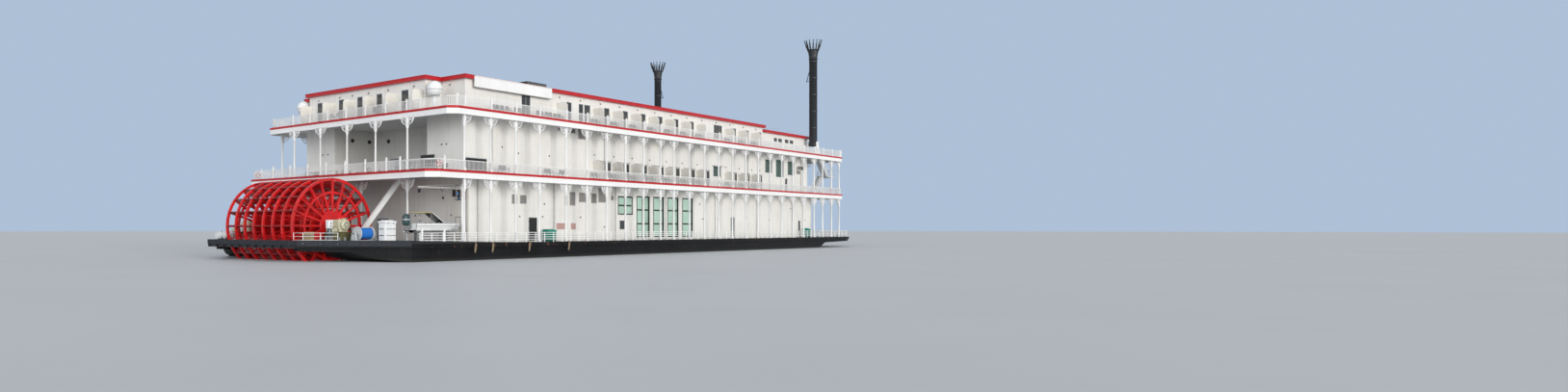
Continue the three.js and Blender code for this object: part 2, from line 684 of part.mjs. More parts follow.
addPair("top_rail", join(sideRail(-1.0, UPPER_BOW - 0.3, THIRD + GAP)), WHITE);

const STERN_ROW = -2.2;
const BOW_ROW = 86.4;
const crossArcade = (x, places, low, high) =>
  section(arcadeOutline(places, low, high), x - POST / 2, x + POST / 2);
const crossRail = (x, half, low, places) =>
  join(
    railBars(-half, half, low, places).map(({ a0, a1, z0, z1, thick }) =>
      box(x - thick / 2, x + thick / 2, a0, a1, z0, z1),
    ),
  );
const CROSS_POSTS = [-9.8, -4.8, 0, 4.8, 9.8];
const MAIN_STERN_POSTS = [-9.8, -2.4, 2.4, 9.8];
add("main_stern_posts", crossArcade(STERN_ROW, MAIN_STERN_POSTS, MAIN + GAP, SECOND - SLAB - GAP), WHITE);
add("upper_stern_posts", crossArcade(STERN_ROW, CROSS_POSTS, SECOND + GAP, THIRD - SLAB - GAP), WHITE);
add("main_bow_posts", crossArcade(BOW_ROW, CROSS_POSTS, MAIN + GAP, SECOND - SLAB - GAP), WHITE);
add("upper_bow_posts", crossArcade(BOW_ROW, CROSS_POSTS, SECOND + GAP, THIRD - SLAB - GAP), WHITE);
const railPlaces = Array.from({ length: 11 }, (_, i) => -15 + 3 * i);
add("second_bow_rail", crossRail(UPPER_BOW - 0.2, 15.7, SECOND + GAP, railPlaces), WHITE);
add("third_bow_rail", crossRail(UPPER_BOW - 0.2, 15.7, THIRD + GAP, railPlaces), WHITE);

// Rails along a line of points: a bar at each height, and an upright at each place
const railAlong = (path, low, heights, places) => {
  const high = low + heights[heights.length - 1] + 0.05;
  return join(
    heights.map((z) => plate(ribbon(path, 0.06), low + z, low + z + 0.09)),
    places.map(([x, y]) => box(x - 0.045, x + 0.045, y - 0.045, y + 0.045, low, high)),
  );
};
const acrossShip = (points) => [...points, ...points.map(([x, y]) => [x, -y]).reverse()];
const sternRail = (stern, corner, fore, low) => {
  const path = acrossShip([
    [fore, RAIL_LINE],
    [stern + corner, RAIL_LINE],
    [stern + 0.2, RAIL_LINE + corner],
  ]);
  const between = railPlaces.slice(1, -1).map((y) => [stern + 0.2, y]);
  return railAlong(path, low, [RAIL - 0.1], [...path, ...between]);
};
add("second_stern_rail", sternRail(SECOND_STERN, 1.0, -0.45, SECOND + GAP), WHITE);
add("third_stern_rail", sternRail(THIRD_STERN, 0.8, -1.06, THIRD + GAP), WHITE);

// The main deck's rail: from one stern corner along the side, round the bow and back
const MAIN_RAIL = { line: HALF_BEAM - 0.14, aft: -5.9, heights: [0.5, 0.98] };
const bowRail = bowCurve(MAIN_RAIL.line).map(([x, y]) => [x - 0.14, y]);
const mainRailPath = [[MAIN_RAIL.aft, -MAIN_RAIL.line], ...bowRail, [MAIN_RAIL.aft, MAIN_RAIL.line]];
const mainUprights = [MAIN_RAIL.aft + 0.05, -3, ...POSTS.filter((_, i) => i % 2 === 0)].flatMap((x) => [
  [x, -MAIN_RAIL.line],
  [x, MAIN_RAIL.line],
]);
const bowUprights = bowRail.filter((_, i) => i % 2 === 0);
add("main_rail", railAlong(mainRailPath, MAIN + GAP, MAIN_RAIL.heights, [...mainUprights, ...bowUprights]), WHITE);

// Domes on their pedestals, beside the centre of the top house's stern
const DOME = { x: 0.1, y: -11.3, z: 17.05, radius: 0.82 };
const domeSide = Array.from({ length: 11 }, (_, i) => {
  const angle = -Math.PI / 2 + (Math.PI * i) / 10;
  const across = i === 0 || i === 10 ? 0 : DOME.radius * Math.cos(angle);
  return [across, DOME.z + DOME.radius * Math.sin(angle)];
});
const dome = join(
  barZ(0.2, THIRD + GAP, DOME.z - 0.3, DOME.x, DOME.y, 12),
  turned(domeSide, DOME.x, DOME.y, 16),
);
addPair("antenna_dome", dome, WHITE);

// A low vent on the roof behind the starboard sign, and a louvred cabinet on the second deck below it
add("roof_vent", box(12.2, 15.4, -12.8, -11.6, ROOF + GAP, ROOF + 0.6), BLACK);
add("deck_cabinet", box(0.9, 3.4, -15.4, -14.5, SECOND + GAP, SECOND + 1.4), STEEL);

// Engines in the after end of the main house
addPair("engine", box(9, 15, -5.5, -2.5, MAIN + GAP, MAIN + 2.2), STEEL);

// Stairs at the bow from the second deck up to the third: one flight forward to a landing, one back beside it
const STAIR = {
  aft: 80.2, landing: 83.2, fore: 85.8,
  level: 11.7, slab: 0.25,
  middle: -14.2, width: 0.9, apart: 0.1,
};
const flight = (foot, low, head, high, y0, y1) => {
  const treads = 8;
  const rise = (high - low) / treads;
  const going = (head - foot) / treads;
  const points = [[foot, low]];
  for (let i = 0; i < treads; i += 1) {
    points.push([foot + going * i, low + rise * (i + 1)], [foot + going * (i + 1), low + rise * (i + 1)]);
  }
  points.push([head, high - rise], [foot + going * 2, low]);
  return profile(points, y0, y1);
};
const outer = [STAIR.middle - STAIR.width, STAIR.middle - STAIR.apart / 2];
const inner = [STAIR.middle + STAIR.apart / 2, STAIR.middle + STAIR.width];
const stair = join(
  flight(STAIR.aft, SECOND + GAP, STAIR.landing + 0.2, STAIR.level, ...inner),
  flight(STAIR.landing + 0.4, STAIR.level - 0.1, STAIR.aft, THIRD - SLAB - GAP, ...outer),
  box(STAIR.landing, STAIR.fore, outer[0], inner[1], STAIR.level - STAIR.slab, STAIR.level),
);
addPair("bow_stair", stair, WHITE);

// The origin is below the middle of the ship, on the bottom of its hull
const middle = (STERN - 0.8 + BOW_STRAIGHT + BOW_REACH) / 2;
ship.position.set(-middle * MODEL_MM_PER_METRE, 0, -KEEL * MODEL_MM_PER_METRE);
ship.scale.setScalar(MODEL_MM_PER_METRE);
const model = new THREE.Group();
model.add(ship);

export default model;
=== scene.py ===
"""Finish of a stern-wheel paddle steamer, a scale model at one tenth of its real size.

The file is laid out as an add-on: sizes and colours are properties, each group of like pieces is an operator,
and one panel lists them. Run as a script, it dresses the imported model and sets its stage, light and camera.
Lengths are metres in the model's frame, with x to the bow, y to port and z up.
"""

import json
import math

import bpy
import numpy as np
from mathutils import Matrix, Vector


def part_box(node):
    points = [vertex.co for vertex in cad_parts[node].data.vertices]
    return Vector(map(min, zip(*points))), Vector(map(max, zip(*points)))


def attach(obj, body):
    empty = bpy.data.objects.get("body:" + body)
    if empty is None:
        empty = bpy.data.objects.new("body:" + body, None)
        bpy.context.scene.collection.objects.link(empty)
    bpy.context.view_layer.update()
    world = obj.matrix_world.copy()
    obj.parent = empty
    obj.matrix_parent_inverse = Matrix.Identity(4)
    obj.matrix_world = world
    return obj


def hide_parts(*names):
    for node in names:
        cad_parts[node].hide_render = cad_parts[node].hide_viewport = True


bl_info = {
    "name": "Paddle Steamer Finish",
    "version": (1, 0, 0),
    "blender": (4, 5, 0),
    "location": "View3D > Sidebar > Steamer",
    "description": "Fine detail, paint, light and camera for a stern-wheel paddle steamer",
    "category": "Object",
}

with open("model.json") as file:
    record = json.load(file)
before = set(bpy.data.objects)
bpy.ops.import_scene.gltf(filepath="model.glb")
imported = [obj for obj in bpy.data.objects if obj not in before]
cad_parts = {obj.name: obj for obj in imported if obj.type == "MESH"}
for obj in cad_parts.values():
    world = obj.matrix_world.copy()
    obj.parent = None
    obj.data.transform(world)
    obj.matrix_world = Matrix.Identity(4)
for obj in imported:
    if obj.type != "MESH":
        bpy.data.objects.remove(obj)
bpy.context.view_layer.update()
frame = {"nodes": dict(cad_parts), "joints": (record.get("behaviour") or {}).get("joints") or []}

# Levels and lines of the ship
WATER = 0.2
DECK1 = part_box("main_house")[0].z
DECK2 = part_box("upper_house")[0].z
DECK3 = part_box("top_house")[0].z
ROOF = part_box("roof")[1].z
BRIDGE_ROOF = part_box("bridge_roof")[1].z
HALF_BEAM = 1.6
HOUSE_HALF = 1.35
SLAB = 0.025
FASCIA = 0.075
RAIL = 0.1
POST = 0.026
POST_LINE = 1.563
AFT_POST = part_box("main_arcade_starboard")[0].x + POST / 2

# Bays between the side posts: how many, and how long each is
BAYS = ((3, 0.366), (1, 0.44), (5, 0.366), (1, 0.3), (11, 0.366), (1, 0.31), (1, 0.335), (1, 0.295))
POSTS = [AFT_POST]
for bay_count, bay_length in BAYS:
    for _ in range(bay_count):
        POSTS.append(POSTS[-1] + bay_length)

CROSS_POSTS = (-0.98, -0.48, 0.0, 0.48, 0.98)
MAIN_STERN_POSTS = (-0.98, -0.24, 0.24, 0.98)
STERN_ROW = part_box("main_stern_posts")[0].x + POST / 2
BOW_ROW = AFT_POST + 8.64

# Cabins along both sides: the places of the partitions between their balconies
CABIN_PLACES = [2.29 + 0.375 * i for i in range(11) if i != 7]
TOP_CABIN_PLACES = [1.63, *CABIN_PLACES]
STERN_PARTITIONS = (-0.98, -0.56, -0.2, 0.15, 0.52, 0.95)


def along(x):
    """The frame's x of a place that is measured from the aftmost side post."""
    return AFT_POST + x


def pivot(joint):
    """The point that a joint turns about."""
    return Vector(next(j for j in frame["joints"] if j["name"] == joint)["pos_m"])


# Shapes: each is a pair of points and faces

AXES = {"x": (1, 2, 0), "y": (0, 2, 1), "z": (0, 1, 2)}


def outward(points, faces):
    """The faces of a convex shape, turned so that they all face out."""
    points = np.asarray(points, float)
    middle = points.mean(0)
    turned = []
    for face in faces:
        corner = points[list(face[:3])]
        normal = np.cross(corner[1] - corner[0], corner[2] - corner[1])
        ahead = normal @ (points[list(face)].mean(0) - middle) > 0
        turned.append(tuple(face) if ahead else tuple(reversed(face)))
    return points, turned


def skin(rows, size, closed=False):
    """Faces between rows of as many points each; an open skin gets a cap at both ends."""
    faces = []
    for i in range(rows if closed else rows - 1):
        j = (i + 1) % rows
        for k in range(size):
            m = (k + 1) % size
            faces.append((i * size + k, i * size + m, j * size + m, j * size + k))
    if not closed:
        faces += [tuple(range(size - 1, -1, -1)), tuple(range((rows - 1) * size, rows * size))]
    return faces


def reverse(faces):
    """The same faces, looking the other way."""
    return [tuple(reversed(face)) for face in faces]


def area(outline):
    """Twice the area in a flat outline, above zero where it runs anticlockwise."""
    flat = np.asarray(outline, float)
    following = np.roll(flat, -1, 0)
    return (flat[:, 0] * following[:, 1] - following[:, 0] * flat[:, 1]).sum()


def lifted(outline, level, axis):
    """A flat outline, given in the two axes that are left, as points at a level along an axis."""
    flat = np.asarray(outline, float)
    points = np.full((len(flat), 3), float(level))
    first, second = AXES[axis][:2]
    points[:, first], points[:, second] = flat.T
    return points


def block(low, high, chamfer=0.0):
    """A box between two corners, with its edges taken off by the chamfer."""
    ends = np.minimum(low, high), np.maximum(low, high)
    signs = [(i, j, k) for i in (0, 1) for j in (0, 1) for k in (0, 1)]
    if not chamfer:
        points = [[ends[s[a]][a] for a in range(3)] for s in signs]
        return outward(
            points, [(0, 1, 3, 2), (4, 6, 7, 5), (0, 4, 5, 1), (2, 3, 7, 6), (0, 2, 6, 4), (1, 5, 7, 3)]
        )
    chamfer = min(chamfer, (ends[1] - ends[0]).min() * 0.45)
    corners = [(s, out) for s in signs for out in range(3)]
    points = [
        [ends[s[a]][a] + (chamfer, -chamfer)[s[a]] * (a != out) for a in range(3)] for s, out in corners
    ]
    at = {corner: i for i, corner in enumerate(corners)}
    faces = [tuple(at[s, out] for out in range(3)) for s in signs]

    def sign(out, b, c, values):
        given = dict(zip((out, b, c), values))
        return tuple(given[a] for a in range(3))

    for out in range(3):
        b, c = [a for a in range(3) if a != out]
        for side in (0, 1):
            faces.append(
                tuple(at[sign(out, b, c, (side, *turn)), out] for turn in ((0, 0), (1, 0), (1, 1), (0, 1)))
            )
        for edge in ((0, 0), (0, 1), (1, 0), (1, 1)):
            near, far = sign(out, b, c, (0, *edge)), sign(out, b, c, (1, *edge))
            faces.append((at[near, b], at[far, b], at[far, c], at[near, c]))
    return outward(points, faces)


def prism(outline, low, high, axis="z"):
    """A flat outline, given in the two axes that are left, carried from low to high along an axis."""
    points = np.concatenate([lifted(outline, level, axis) for level in (low, high)])
    faces = skin(2, len(outline))
    return points, reverse(faces) if (area(outline) > 0) == (axis == "y") else faces


def across(direction):
    """Two unit vectors at right angles to a direction and to each other."""
    direction = np.asarray(direction, float) / np.linalg.norm(direction)
    helper = np.array((0.0, 0.0, 1.0)) if abs(direction[2]) < 0.9 else np.array((1.0, 0.0, 0.0))
    side = np.cross(helper, direction)
    side /= np.linalg.norm(side)
    return side, np.cross(direction, side)


def sweep(path, radius, sides=8, closed=False):
    """A round bar along a line of points; the radius may be one number or one for each point."""
    path = np.asarray(path, float)
    before, after = np.roll(path, 1, 0), np.roll(path, -1, 0)
    if not closed:
        before[0], after[-1] = path[0], path[-1]
    points = []
    for here, direction, size in zip(path, after - before, np.broadcast_to(radius, (len(path),))):
        side, up = across(direction)
        points += [here + size * (u * side + v * up) for u, v in circle(1.0, sides)]
    return np.array(points), skin(len(path), sides, closed)


def tube(start, end, radius, sides=10):
    """A straight round bar."""
    return sweep([start, end], radius, sides)


def lathe(outline, sides=16):
    """A solid of revolution about z, from points of radius and height that start and end on the axis."""
    points, rows = [], []
    for radius, height in outline:
        if radius < 1e-7:
            rows.append([len(points)] * sides)
            points.append((0.0, 0.0, height))
        else:
            rows.append(list(range(len(points), len(points) + sides)))
            points += [(x, y, height) for x, y in circle(radius, sides)]
    faces = []
    for low, high in zip(rows, rows[1:]):
        for k in range(sides):
            m = (k + 1) % sides
            corners = dict.fromkeys((low[k], low[m], high[m], high[k]))
            if len(corners) > 2:
                faces.append(tuple(corners))
    return np.array(points), faces


def ball(radius, sides=12, rows=6):
    """A round ball about the origin."""
    steps = np.linspace(-math.pi / 2, math.pi / 2, rows + 1)
    outline = [(radius * math.cos(s) * (0 < i < rows), radius * math.sin(s)) for i, s in enumerate(steps)]
    return lathe(outline, sides)


def moulding(path, section, closed=True):
    """A strip of even section along a line: the section's points are distances out to the right and up."""
    path = [np.asarray(p, float) for p in path]
    count = len(path)
    points = []
    for i, here in enumerate(path):
        edges = []
        for a, b in ((i - 1, i), (i, i + 1)):
            if closed or 0 <= a and b < count:
                step = (path[b % count] - path[a % count])[:2]
                edges.append(np.array((step[1], -step[0])) / np.linalg.norm(step))
        right = sum(edges)
        if len(edges) == 2:
            right = right * 2 / (right @ right)
        points += [(here[0] + right[0] * out, here[1] + right[1] * out, here[2] + up) for out, up in section]
    faces = skin(count, len(section), closed)
    return np.array(points), reverse(faces) if area(section) > 0 else faces


def strip(points, width):
    """The flat outline of a strip of even width along a line of points."""
    line = np.asarray(points, float)
    step = np.vstack((line[1:], line[-1:])) - np.vstack((line[:1], line[:-1]))
    step /= np.linalg.norm(step, axis=1)[:, None]
    side = np.stack((-step[:, 1], step[:, 0]), 1) * width / 2
    return [tuple(p) for p in np.vstack((line + side, (line - side)[::-1]))]


def loft(rings):
    """A closed skin through rings of as many points each, with flat ends."""
    return np.concatenate([np.asarray(ring, float) for ring in rings]), skin(len(rings), len(rings[0]))


def circle(radius, count, centre=(0.0, 0.0), phase=0.0):
    """Points on a circle, anticlockwise."""
    turns = [phase + 2 * math.pi * i / count for i in range(count)]
    return [(centre[0] + radius * math.cos(t), centre[1] + radius * math.sin(t)) for t in turns]


def oval(half_x, half_y, z, centre=(0.0, 0.0), count=16, power=3.0):
    """A ring with full corners, flat at a height and anticlockwise from above."""
    full = [[
        math.copysign(abs(u) ** (2 / power), u) for u in p
    ] for p in circle(1.0, count, phase=math.pi / count)]
    return [(centre[0] + half_x * x, centre[1] + half_y * y, z) for x, y in full]


def hoop(outer, inner, low, high, count, axis="z", centre=(0.0, 0.0)):
    """A flat ring between two circles, carried from low to high along an axis."""
    rows = ((outer, low), (outer, high), (inner, high), (inner, low))
    points = np.concatenate([lifted(circle(radius, count, centre), level, axis) for radius, level in rows])
    faces = skin(4, count, True)
    return points, reverse(faces) if axis == "y" else faces


def placing(origin, u=(1, 0, 0), v=(0, 1, 0), w=(0, 0, 1)):
    """The matrix that sets a shape's own axes on u, v and w, from an origin."""
    matrix = Matrix((u, v, w)).transposed().to_4x4()
    matrix.translation = origin
    return matrix


def along_x(centre):
    """Sets a turned shape with its axis along x."""
    return placing(centre, (0, 1, 0), (0, 0, 1), (1, 0, 0))


def along_y(centre):
    """Sets a turned shape with its axis along y."""
    return placing(centre, (0, 0, 1), (1, 0, 0), (0, 1, 0))


def turn(angle, axis):
    """A turn about an axis through the origin."""
    return Matrix.Rotation(angle, 4, axis)


def both_ways(low, high, width):
    """Two strips of a width, one at each end of a stretch."""
    return (low, low + width), (high - width, high)


MIRROR = Matrix.Scale(-1, 4, (0, 1, 0))


class Form:
    """Closed shapes gathered into one mesh; a shape without a finish of its own takes the form's finish."""

    def __init__(self, finish=None, base=None):
        self.chunks = []
        self.finish = finish
        self.base = Matrix() if base is None else base

    def add(self, shape, finish=None, at=None, smooth=False):
        """Adds a shape at a place that is measured from the form's base."""
        points, faces = shape
        finish = finish or self.finish
        place = self.base if at is None else self.base @ at
        return self.take(
            np.asarray(points, float), faces, [finish] * len(faces), [smooth] * len(faces), place
        )

    def round(self, shape, finish=None, at=None):
        """Adds a shape whose faces are shaded as one round surface."""
        return self.add(shape, finish, at, True)

    def box(self, low, high, chamfer=0.0, finish=None, at=None):
        """Adds a box between two corners."""
        return self.add(block(low, high, chamfer), finish, at)

    def rod(self, start, end, radius, sides=10, finish=None, at=None):
        """Adds a round bar between two points."""
        return self.round(tube(start, end, radius, sides), finish, at)

    def bolt(self, start, end, radius):
        """Adds a pin or a hexagon head of bare steel."""
        return self.add(tube(start, end, radius, 6), "bare_steel")

    def boxes(self, corners, chamfer=0.0, finish=None):
        """Adds a box between each pair of corners."""
        for low, high in corners:
            self.box(low, high, chamfer, finish)

    def take(self, points, faces, finishes, smooth, place):
        """Adds points and faces that have their finishes already."""
        matrix = np.array(place)
        if np.linalg.det(matrix[:3, :3]) < 0:
            faces = reverse(faces)
        self.chunks.append((points @ matrix[:3, :3].T + matrix[:3, 3], faces, finishes, smooth))
        return self

    def joined(self):
        """All that was added, as one set of points, faces, finishes and smooth marks."""
        faces, start = [], 0
        for chunk in self.chunks:
            faces += [tuple(i + start for i in face) for face in chunk[1]]
            start += len(chunk[0])
        points, _, finishes, smooth = zip(*self.chunks)
        return np.concatenate(points), faces, sum(finishes, []), sum(smooth, [])

    def copies(self, other, places):
        """Adds another form once at each matrix."""
        whole = other.joined()
        for place in places:
            self.take(*whole, self.base @ place)
        return self

    def mirrored(self):
        """Adds the same again on the other side of the ship."""
        return self.take(*self.joined(), MIRROR)

    def piece(self, name, slot, replaces=(), body="ship"):
        """Makes the mesh object and sets it on its body."""
        points, faces, finishes, smooth = self.joined()
        mesh = bpy.data.meshes.new(name)
        mesh.from_pydata(points.tolist(), [], faces)
        used = list(dict.fromkeys(finishes))
        for finish in used:
            mesh.materials.append(surface(finish))
        mesh.polygons.foreach_set("material_index", [used.index(finish) for finish in finishes])
        mesh.polygons.foreach_set("use_smooth", smooth)
        mesh.update()
        piece = bpy.data.objects.new(name, mesh)
        bpy.context.scene.collection.objects.link(piece)
        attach(piece, body)
        if replaces:
            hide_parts(*replaces)
        return piece


def inside(node, finish=None):
    """A form whose places are measured from the low corner of a node's box, and the box's size."""
    low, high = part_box(node)
    return Form(finish, placing(low)), high - low


# Finishes


class Wiring:
    """A material's nodes, wired one by one onto its shader."""

    def __init__(self, name, material=None, **constants):
        self.material = material or bpy.data.materials.new(name)
        self.material.name = name
        self.material.use_nodes = True
        self.tree = self.material.node_tree
        self.shader = self.tree.nodes["Principled BSDF"]
        for socket, value in constants.items():
            self.shader.inputs[socket.replace("_", " ")].default_value = value
        coordinates = self.tree.nodes.new("ShaderNodeTexCoord")
        self.place = coordinates.outputs["Object"]
        self.facing = coordinates.outputs["Normal"]

    def wire(self, socket, value):
        if isinstance(value, bpy.types.NodeSocket):
            self.tree.links.new(value, socket)
        else:
            socket.default_value = (*value, 1.0) if socket.type == "RGBA" else value

    def node(self, kind, wires, output=0, **settings):
        """A node of a kind, with values or links on its sockets by name or number."""
        made = self.tree.nodes.new("ShaderNode" + kind)
        for name, value in settings.items():
            setattr(made, name, value)
        for socket, value in wires.items():
            self.wire(made.inputs[socket], value)
        return made.outputs[output]

    def scaled(self, x, y, z):
        return self.node("VectorMath", {0: self.place, 1: (x, y, z)}, operation="MULTIPLY")

    def noise(self, scale, detail=3.0, roughness=0.55, vector=None):
        vector = self.place if vector is None else vector
        return self.node(
            "TexNoise", {"Scale": scale, "Detail": detail, "Roughness": roughness, "Vector": vector}
        )

    def level(self, value, low, high, to_low=0.0, to_high=1.0):
        wires = {"Value": value, "From Min": low, "From Max": high, "To Min": to_low, "To Max": to_high}
        return self.node("MapRange", wires)

    def maths(self, operation, a, b):
        return self.node("Math", {0: a, 1: b}, operation=operation)

    def part(self, vector, axis):
        return self.node("SeparateXYZ", {0: vector}, axis)

    def blend(self, factor, a, b):
        return self.node("Mix", {"Factor": factor, 6: a, 7: b}, 2, data_type="RGBA")

    def bump(self, height, distance, strength=0.5, under=None):
        wires = {"Height": height, "Distance": distance, "Strength": strength}
        return self.node("Bump", wires if under is None else {**wires, "Normal": under})

    def done(self, colour=None, roughness=None, normal=None):
        for name, value in (("Base Color", colour), ("Roughness", roughness), ("Normal", normal)):
            if value is not None:
                self.wire(self.shader.inputs[name], value)
        return self.material


def shade(colour, factor):
    """A colour made lighter or darker."""
    return tuple(min(1.0, channel * factor) for channel in colour)


def scene_colour(name):
    """One of the colours in the scene's own settings."""
    return tuple(getattr(bpy.context.scene.steamer_colours, name))


def plate_joints(wiring, width, height, gap):
    """Faint joints between plates on upright walls, whichever way they face."""
    x, y, z = [wiring.part(wiring.place, axis) for axis in range(3)]
    together = wiring.node("CombineXYZ", {0: wiring.maths("ADD", x, y), 1: z})
    wires = {"Vector": together, "Scale": 1.0, "Mortar Size": gap, "Mortar Smooth": 0.3, "Brick Width": width,
             "Row Height": height}
    return wiring.node("TexBrick", wires, 1, offset=0.0)


def painted(name, colour, grime, streaks, gloss, joints=None):
    """Brushed paint: its tone drifts, rain leaves streaks down it, and it is a little rough."""
    wiring = Wiring(name)
    tone = wiring.blend(wiring.level(wiring.noise(2.2, 4.0), 0.35, 0.7), colour, shade(colour, 0.93))
    streak = wiring.noise(1.0, 3.0, 0.6, wiring.scaled(38.0, 38.0, 2.2))
    tone = wiring.blend(wiring.level(streak, 0.5, 0.8, 0.0, streaks), tone, grime)
    normal = wiring.bump(wiring.noise(420.0, 2.0), 0.0004, 0.25)
    if joints:
        seams = plate_joints(wiring, *joints)
        tone = wiring.blend(wiring.maths("MULTIPLY", seams, 0.22), tone, grime)
        normal = wiring.bump(wiring.maths("MULTIPLY", seams, -1.0), 0.0012, 0.6, normal)
    rough = wiring.level(wiring.noise(30.0, 3.0), 0.3, 0.75, gloss - 0.08, gloss + 0.14)
    return wiring.done(tone, rough, normal)


# Paints: a colour or a name from the scene's own, the dirt on it, how strong that is, and its roughness
PAINTS = {
    "wall_white": ("wall", (0.36, 0.29, 0.21), 0.24, 0.5),
    "trim_white": ("trim", (0.45, 0.4, 0.34), 0.14, 0.36),
    "trim_red": ("red", (0.13, 0.015, 0.015), 0.3, 0.38),
    "cream": ("cream", (0.42, 0.37, 0.28), 0.15, 0.5),
    "stack_black": ((0.012, 0.013, 0.017), (0.045, 0.04, 0.036), 0.35, 0.42),
    "gear_grey": ((0.2, 0.205, 0.21), (0.07, 0.06, 0.05), 0.35, 0.45),
    "pale_grey": ((0.56, 0.58, 0.59), (0.3, 0.27, 0.23), 0.25, 0.42),
    "louvre_grey": ((0.4, 0.385, 0.37), (0.2, 0.17, 0.14), 0.3, 0.5),
    "slate_blue": ((0.01, 0.013, 0.02), (0.05, 0.04, 0.03), 0.3, 0.6),
    "machine_cream": ((0.56, 0.54, 0.38), (0.2, 0.16, 0.08), 0.45, 0.42),
    "olive": ((0.13, 0.12, 0.05), (0.06, 0.04, 0.02), 0.5, 0.55),
    "pink_brown": ((0.5, 0.31, 0.28), (0.25, 0.15, 0.12), 0.4, 0.6),
    "chair_grey": ((0.06, 0.063, 0.066), (0.2, 0.19, 0.17), 0.2, 0.5),
    "bin_teal": ((0.0, 0.25, 0.18), (0.02, 0.09, 0.07), 0.4, 0.45),
    "vent_black": ((0.02, 0.021, 0.022), (0.09, 0.08, 0.07), 0.3, 0.5),
}
# Width, height and gap of the plates of the walls
WALL_PLATES = (0.366, 0.234, 0.0011)
# Moulded things: colour and roughness
MOULDINGS = {
    "moulded_white": ((0.8, 0.8, 0.78), 0.3),
    "hose_blue": ((0.006, 0.13, 0.5), 0.4),
    "signal_red": ((0.55, 0.015, 0.01), 0.35),
    "motor_teal": ((0.03, 0.07, 0.075), 0.25),
    "canvas_tan": ((0.45, 0.4, 0.2), 0.7),
}
# Glass: colour, or the name of one of the scene's colours, and how dark it gets in places
GLASSES = {
    "green_glass": ("glass", 0.5),
    "deep_glass": ((0.012, 0.07, 0.045), 1.0),
    "dark_glass": ((0.02, 0.024, 0.028), 1.0),
}
# What faces up has a paint of its own, and the rest keeps the other finish
TOPPED = {
    "main_deck_finish": ("deck", "hull_black"),
    "upper_deck_finish": ("deck", "trim_white"),
    "roof_finish": ((0.62, 0.61, 0.59), "trim_red"),
}


def tan_wood(name):
    """Planed boards: a stretched grain under thin worn varnish."""
    wiring = Wiring(name)
    grain = wiring.noise(1.0, 6.0, 0.65, wiring.scaled(18.0, 220.0, 220.0))
    tone = wiring.blend(wiring.level(grain, 0.3, 0.7), (0.32, 0.2, 0.1), (0.47, 0.34, 0.2))
    knots = wiring.level(wiring.noise(16.0, 2.0), 0.62, 0.75)
    tone = wiring.blend(knots, tone, (0.2, 0.11, 0.05))
    return wiring.done(tone, wiring.level(grain, 0.2, 0.8, 0.5, 0.75), wiring.bump(grain, 0.0006, 0.5))


def wheel_red(name):
    """Thick glossy red on steel and boards, dulled and chipped by spray."""
    red = scene_colour("wheel")
    wiring = Wiring(name, Coat_Weight=0.18, Coat_Roughness=0.22)
    tone = wiring.blend(wiring.level(wiring.noise(6.0, 5.0, 0.6), 0.38, 0.68), red, shade(red, 0.62))
    chips = wiring.level(wiring.noise(55.0, 6.0, 0.7), 0.68, 0.74)
    tone = wiring.blend(chips, tone, (0.2, 0.045, 0.03))
    rough = wiring.level(wiring.noise(24.0, 4.0), 0.3, 0.8, 0.28, 0.52)
    normal = wiring.bump(wiring.noise(160.0, 3.0), 0.0008, 0.35)
    return wiring.done(tone, rough, wiring.bump(chips, 0.0006, 0.4, normal))


def paddle_red(name):
    """Paddle boards: the same red made much darker, partly for wet wood and partly as painted shade on the
    boards between the frames, with the grain of the planks showing through.
    """
    red = scene_colour("wheel")
    wiring = Wiring(name, Coat_Weight=0.3, Coat_Roughness=0.15)
    grain = wiring.noise(1.0, 6.0, 0.6, wiring.scaled(160.0, 7.0, 160.0))
    # The two dark reds are partly wet wood and partly painted shade on the boards, which sit between the
    # wheel's frames.
    tone = wiring.blend(wiring.level(grain, 0.3, 0.72), shade(red, 0.2), shade(red, 0.5))
    slime = wiring.level(wiring.noise(9.0, 4.0), 0.55, 0.75, 0.0, 0.6)
    tone = wiring.blend(slime, tone, (0.05, 0.025, 0.02))
    return wiring.done(tone, wiring.level(grain, 0.2, 0.8, 0.25, 0.5), wiring.bump(grain, 0.0014, 0.5))


def hull_black(name):
    """Black plates with scuffs, rust along the edge and dust near the water."""
    black = scene_colour("hull")
    wiring = Wiring(name, Specular_IOR_Level=0.15)
    height = wiring.part(wiring.place, 2)
    drift = wiring.noise(3.0, 5.0)
    tone = wiring.blend(wiring.level(drift, 0.35, 0.75), black, shade(black, 2.4))
    scuffs = wiring.noise(1.0, 5.0, 0.7, wiring.scaled(5.0, 5.0, 120.0))
    tone = wiring.blend(wiring.level(scuffs, 0.6, 0.72, 0.0, 0.35), tone, (0.06, 0.055, 0.052))
    rust = wiring.level(wiring.noise(26.0, 6.0, 0.7, wiring.scaled(1.0, 1.0, 0.35)), 0.6, 0.7)
    edge = wiring.level(height, WATER + 0.08, DECK1 - 0.02, 0.15, 0.8)
    tone = wiring.blend(wiring.maths("MULTIPLY", rust, edge), tone, (0.18, 0.075, 0.035))
    wet = wiring.level(height, WATER, WATER + 0.035, 1.0, 0.0)
    tone = wiring.blend(wiring.maths("MULTIPLY", wet, 0.75), tone, (0.035, 0.036, 0.03))
    normal = wiring.bump(wiring.noise(60.0, 4.0), 0.0012, 0.3)
    normal = wiring.bump(plate_joints(wiring, 0.6, 0.15, 0.0016), 0.0015, 0.7, normal)
    return wiring.done(tone, wiring.level(drift, 0.3, 0.8, 0.38, 0.62), normal)


def topped(name, top, side):
    """One paint on what faces up, over another finish on the rest."""
    wiring = Wiring(name, surface(side).copy())
    under = wiring.shader.inputs["Base Color"].links[0].from_socket
    over = wiring.maths("GREATER_THAN", wiring.part(wiring.facing, 2), 0.7)
    drift = wiring.blend(wiring.noise(7.0, 6.0, 0.5), shade(top, 0.82), shade(top, 1.12))
    return wiring.done(wiring.blend(over, under, drift))


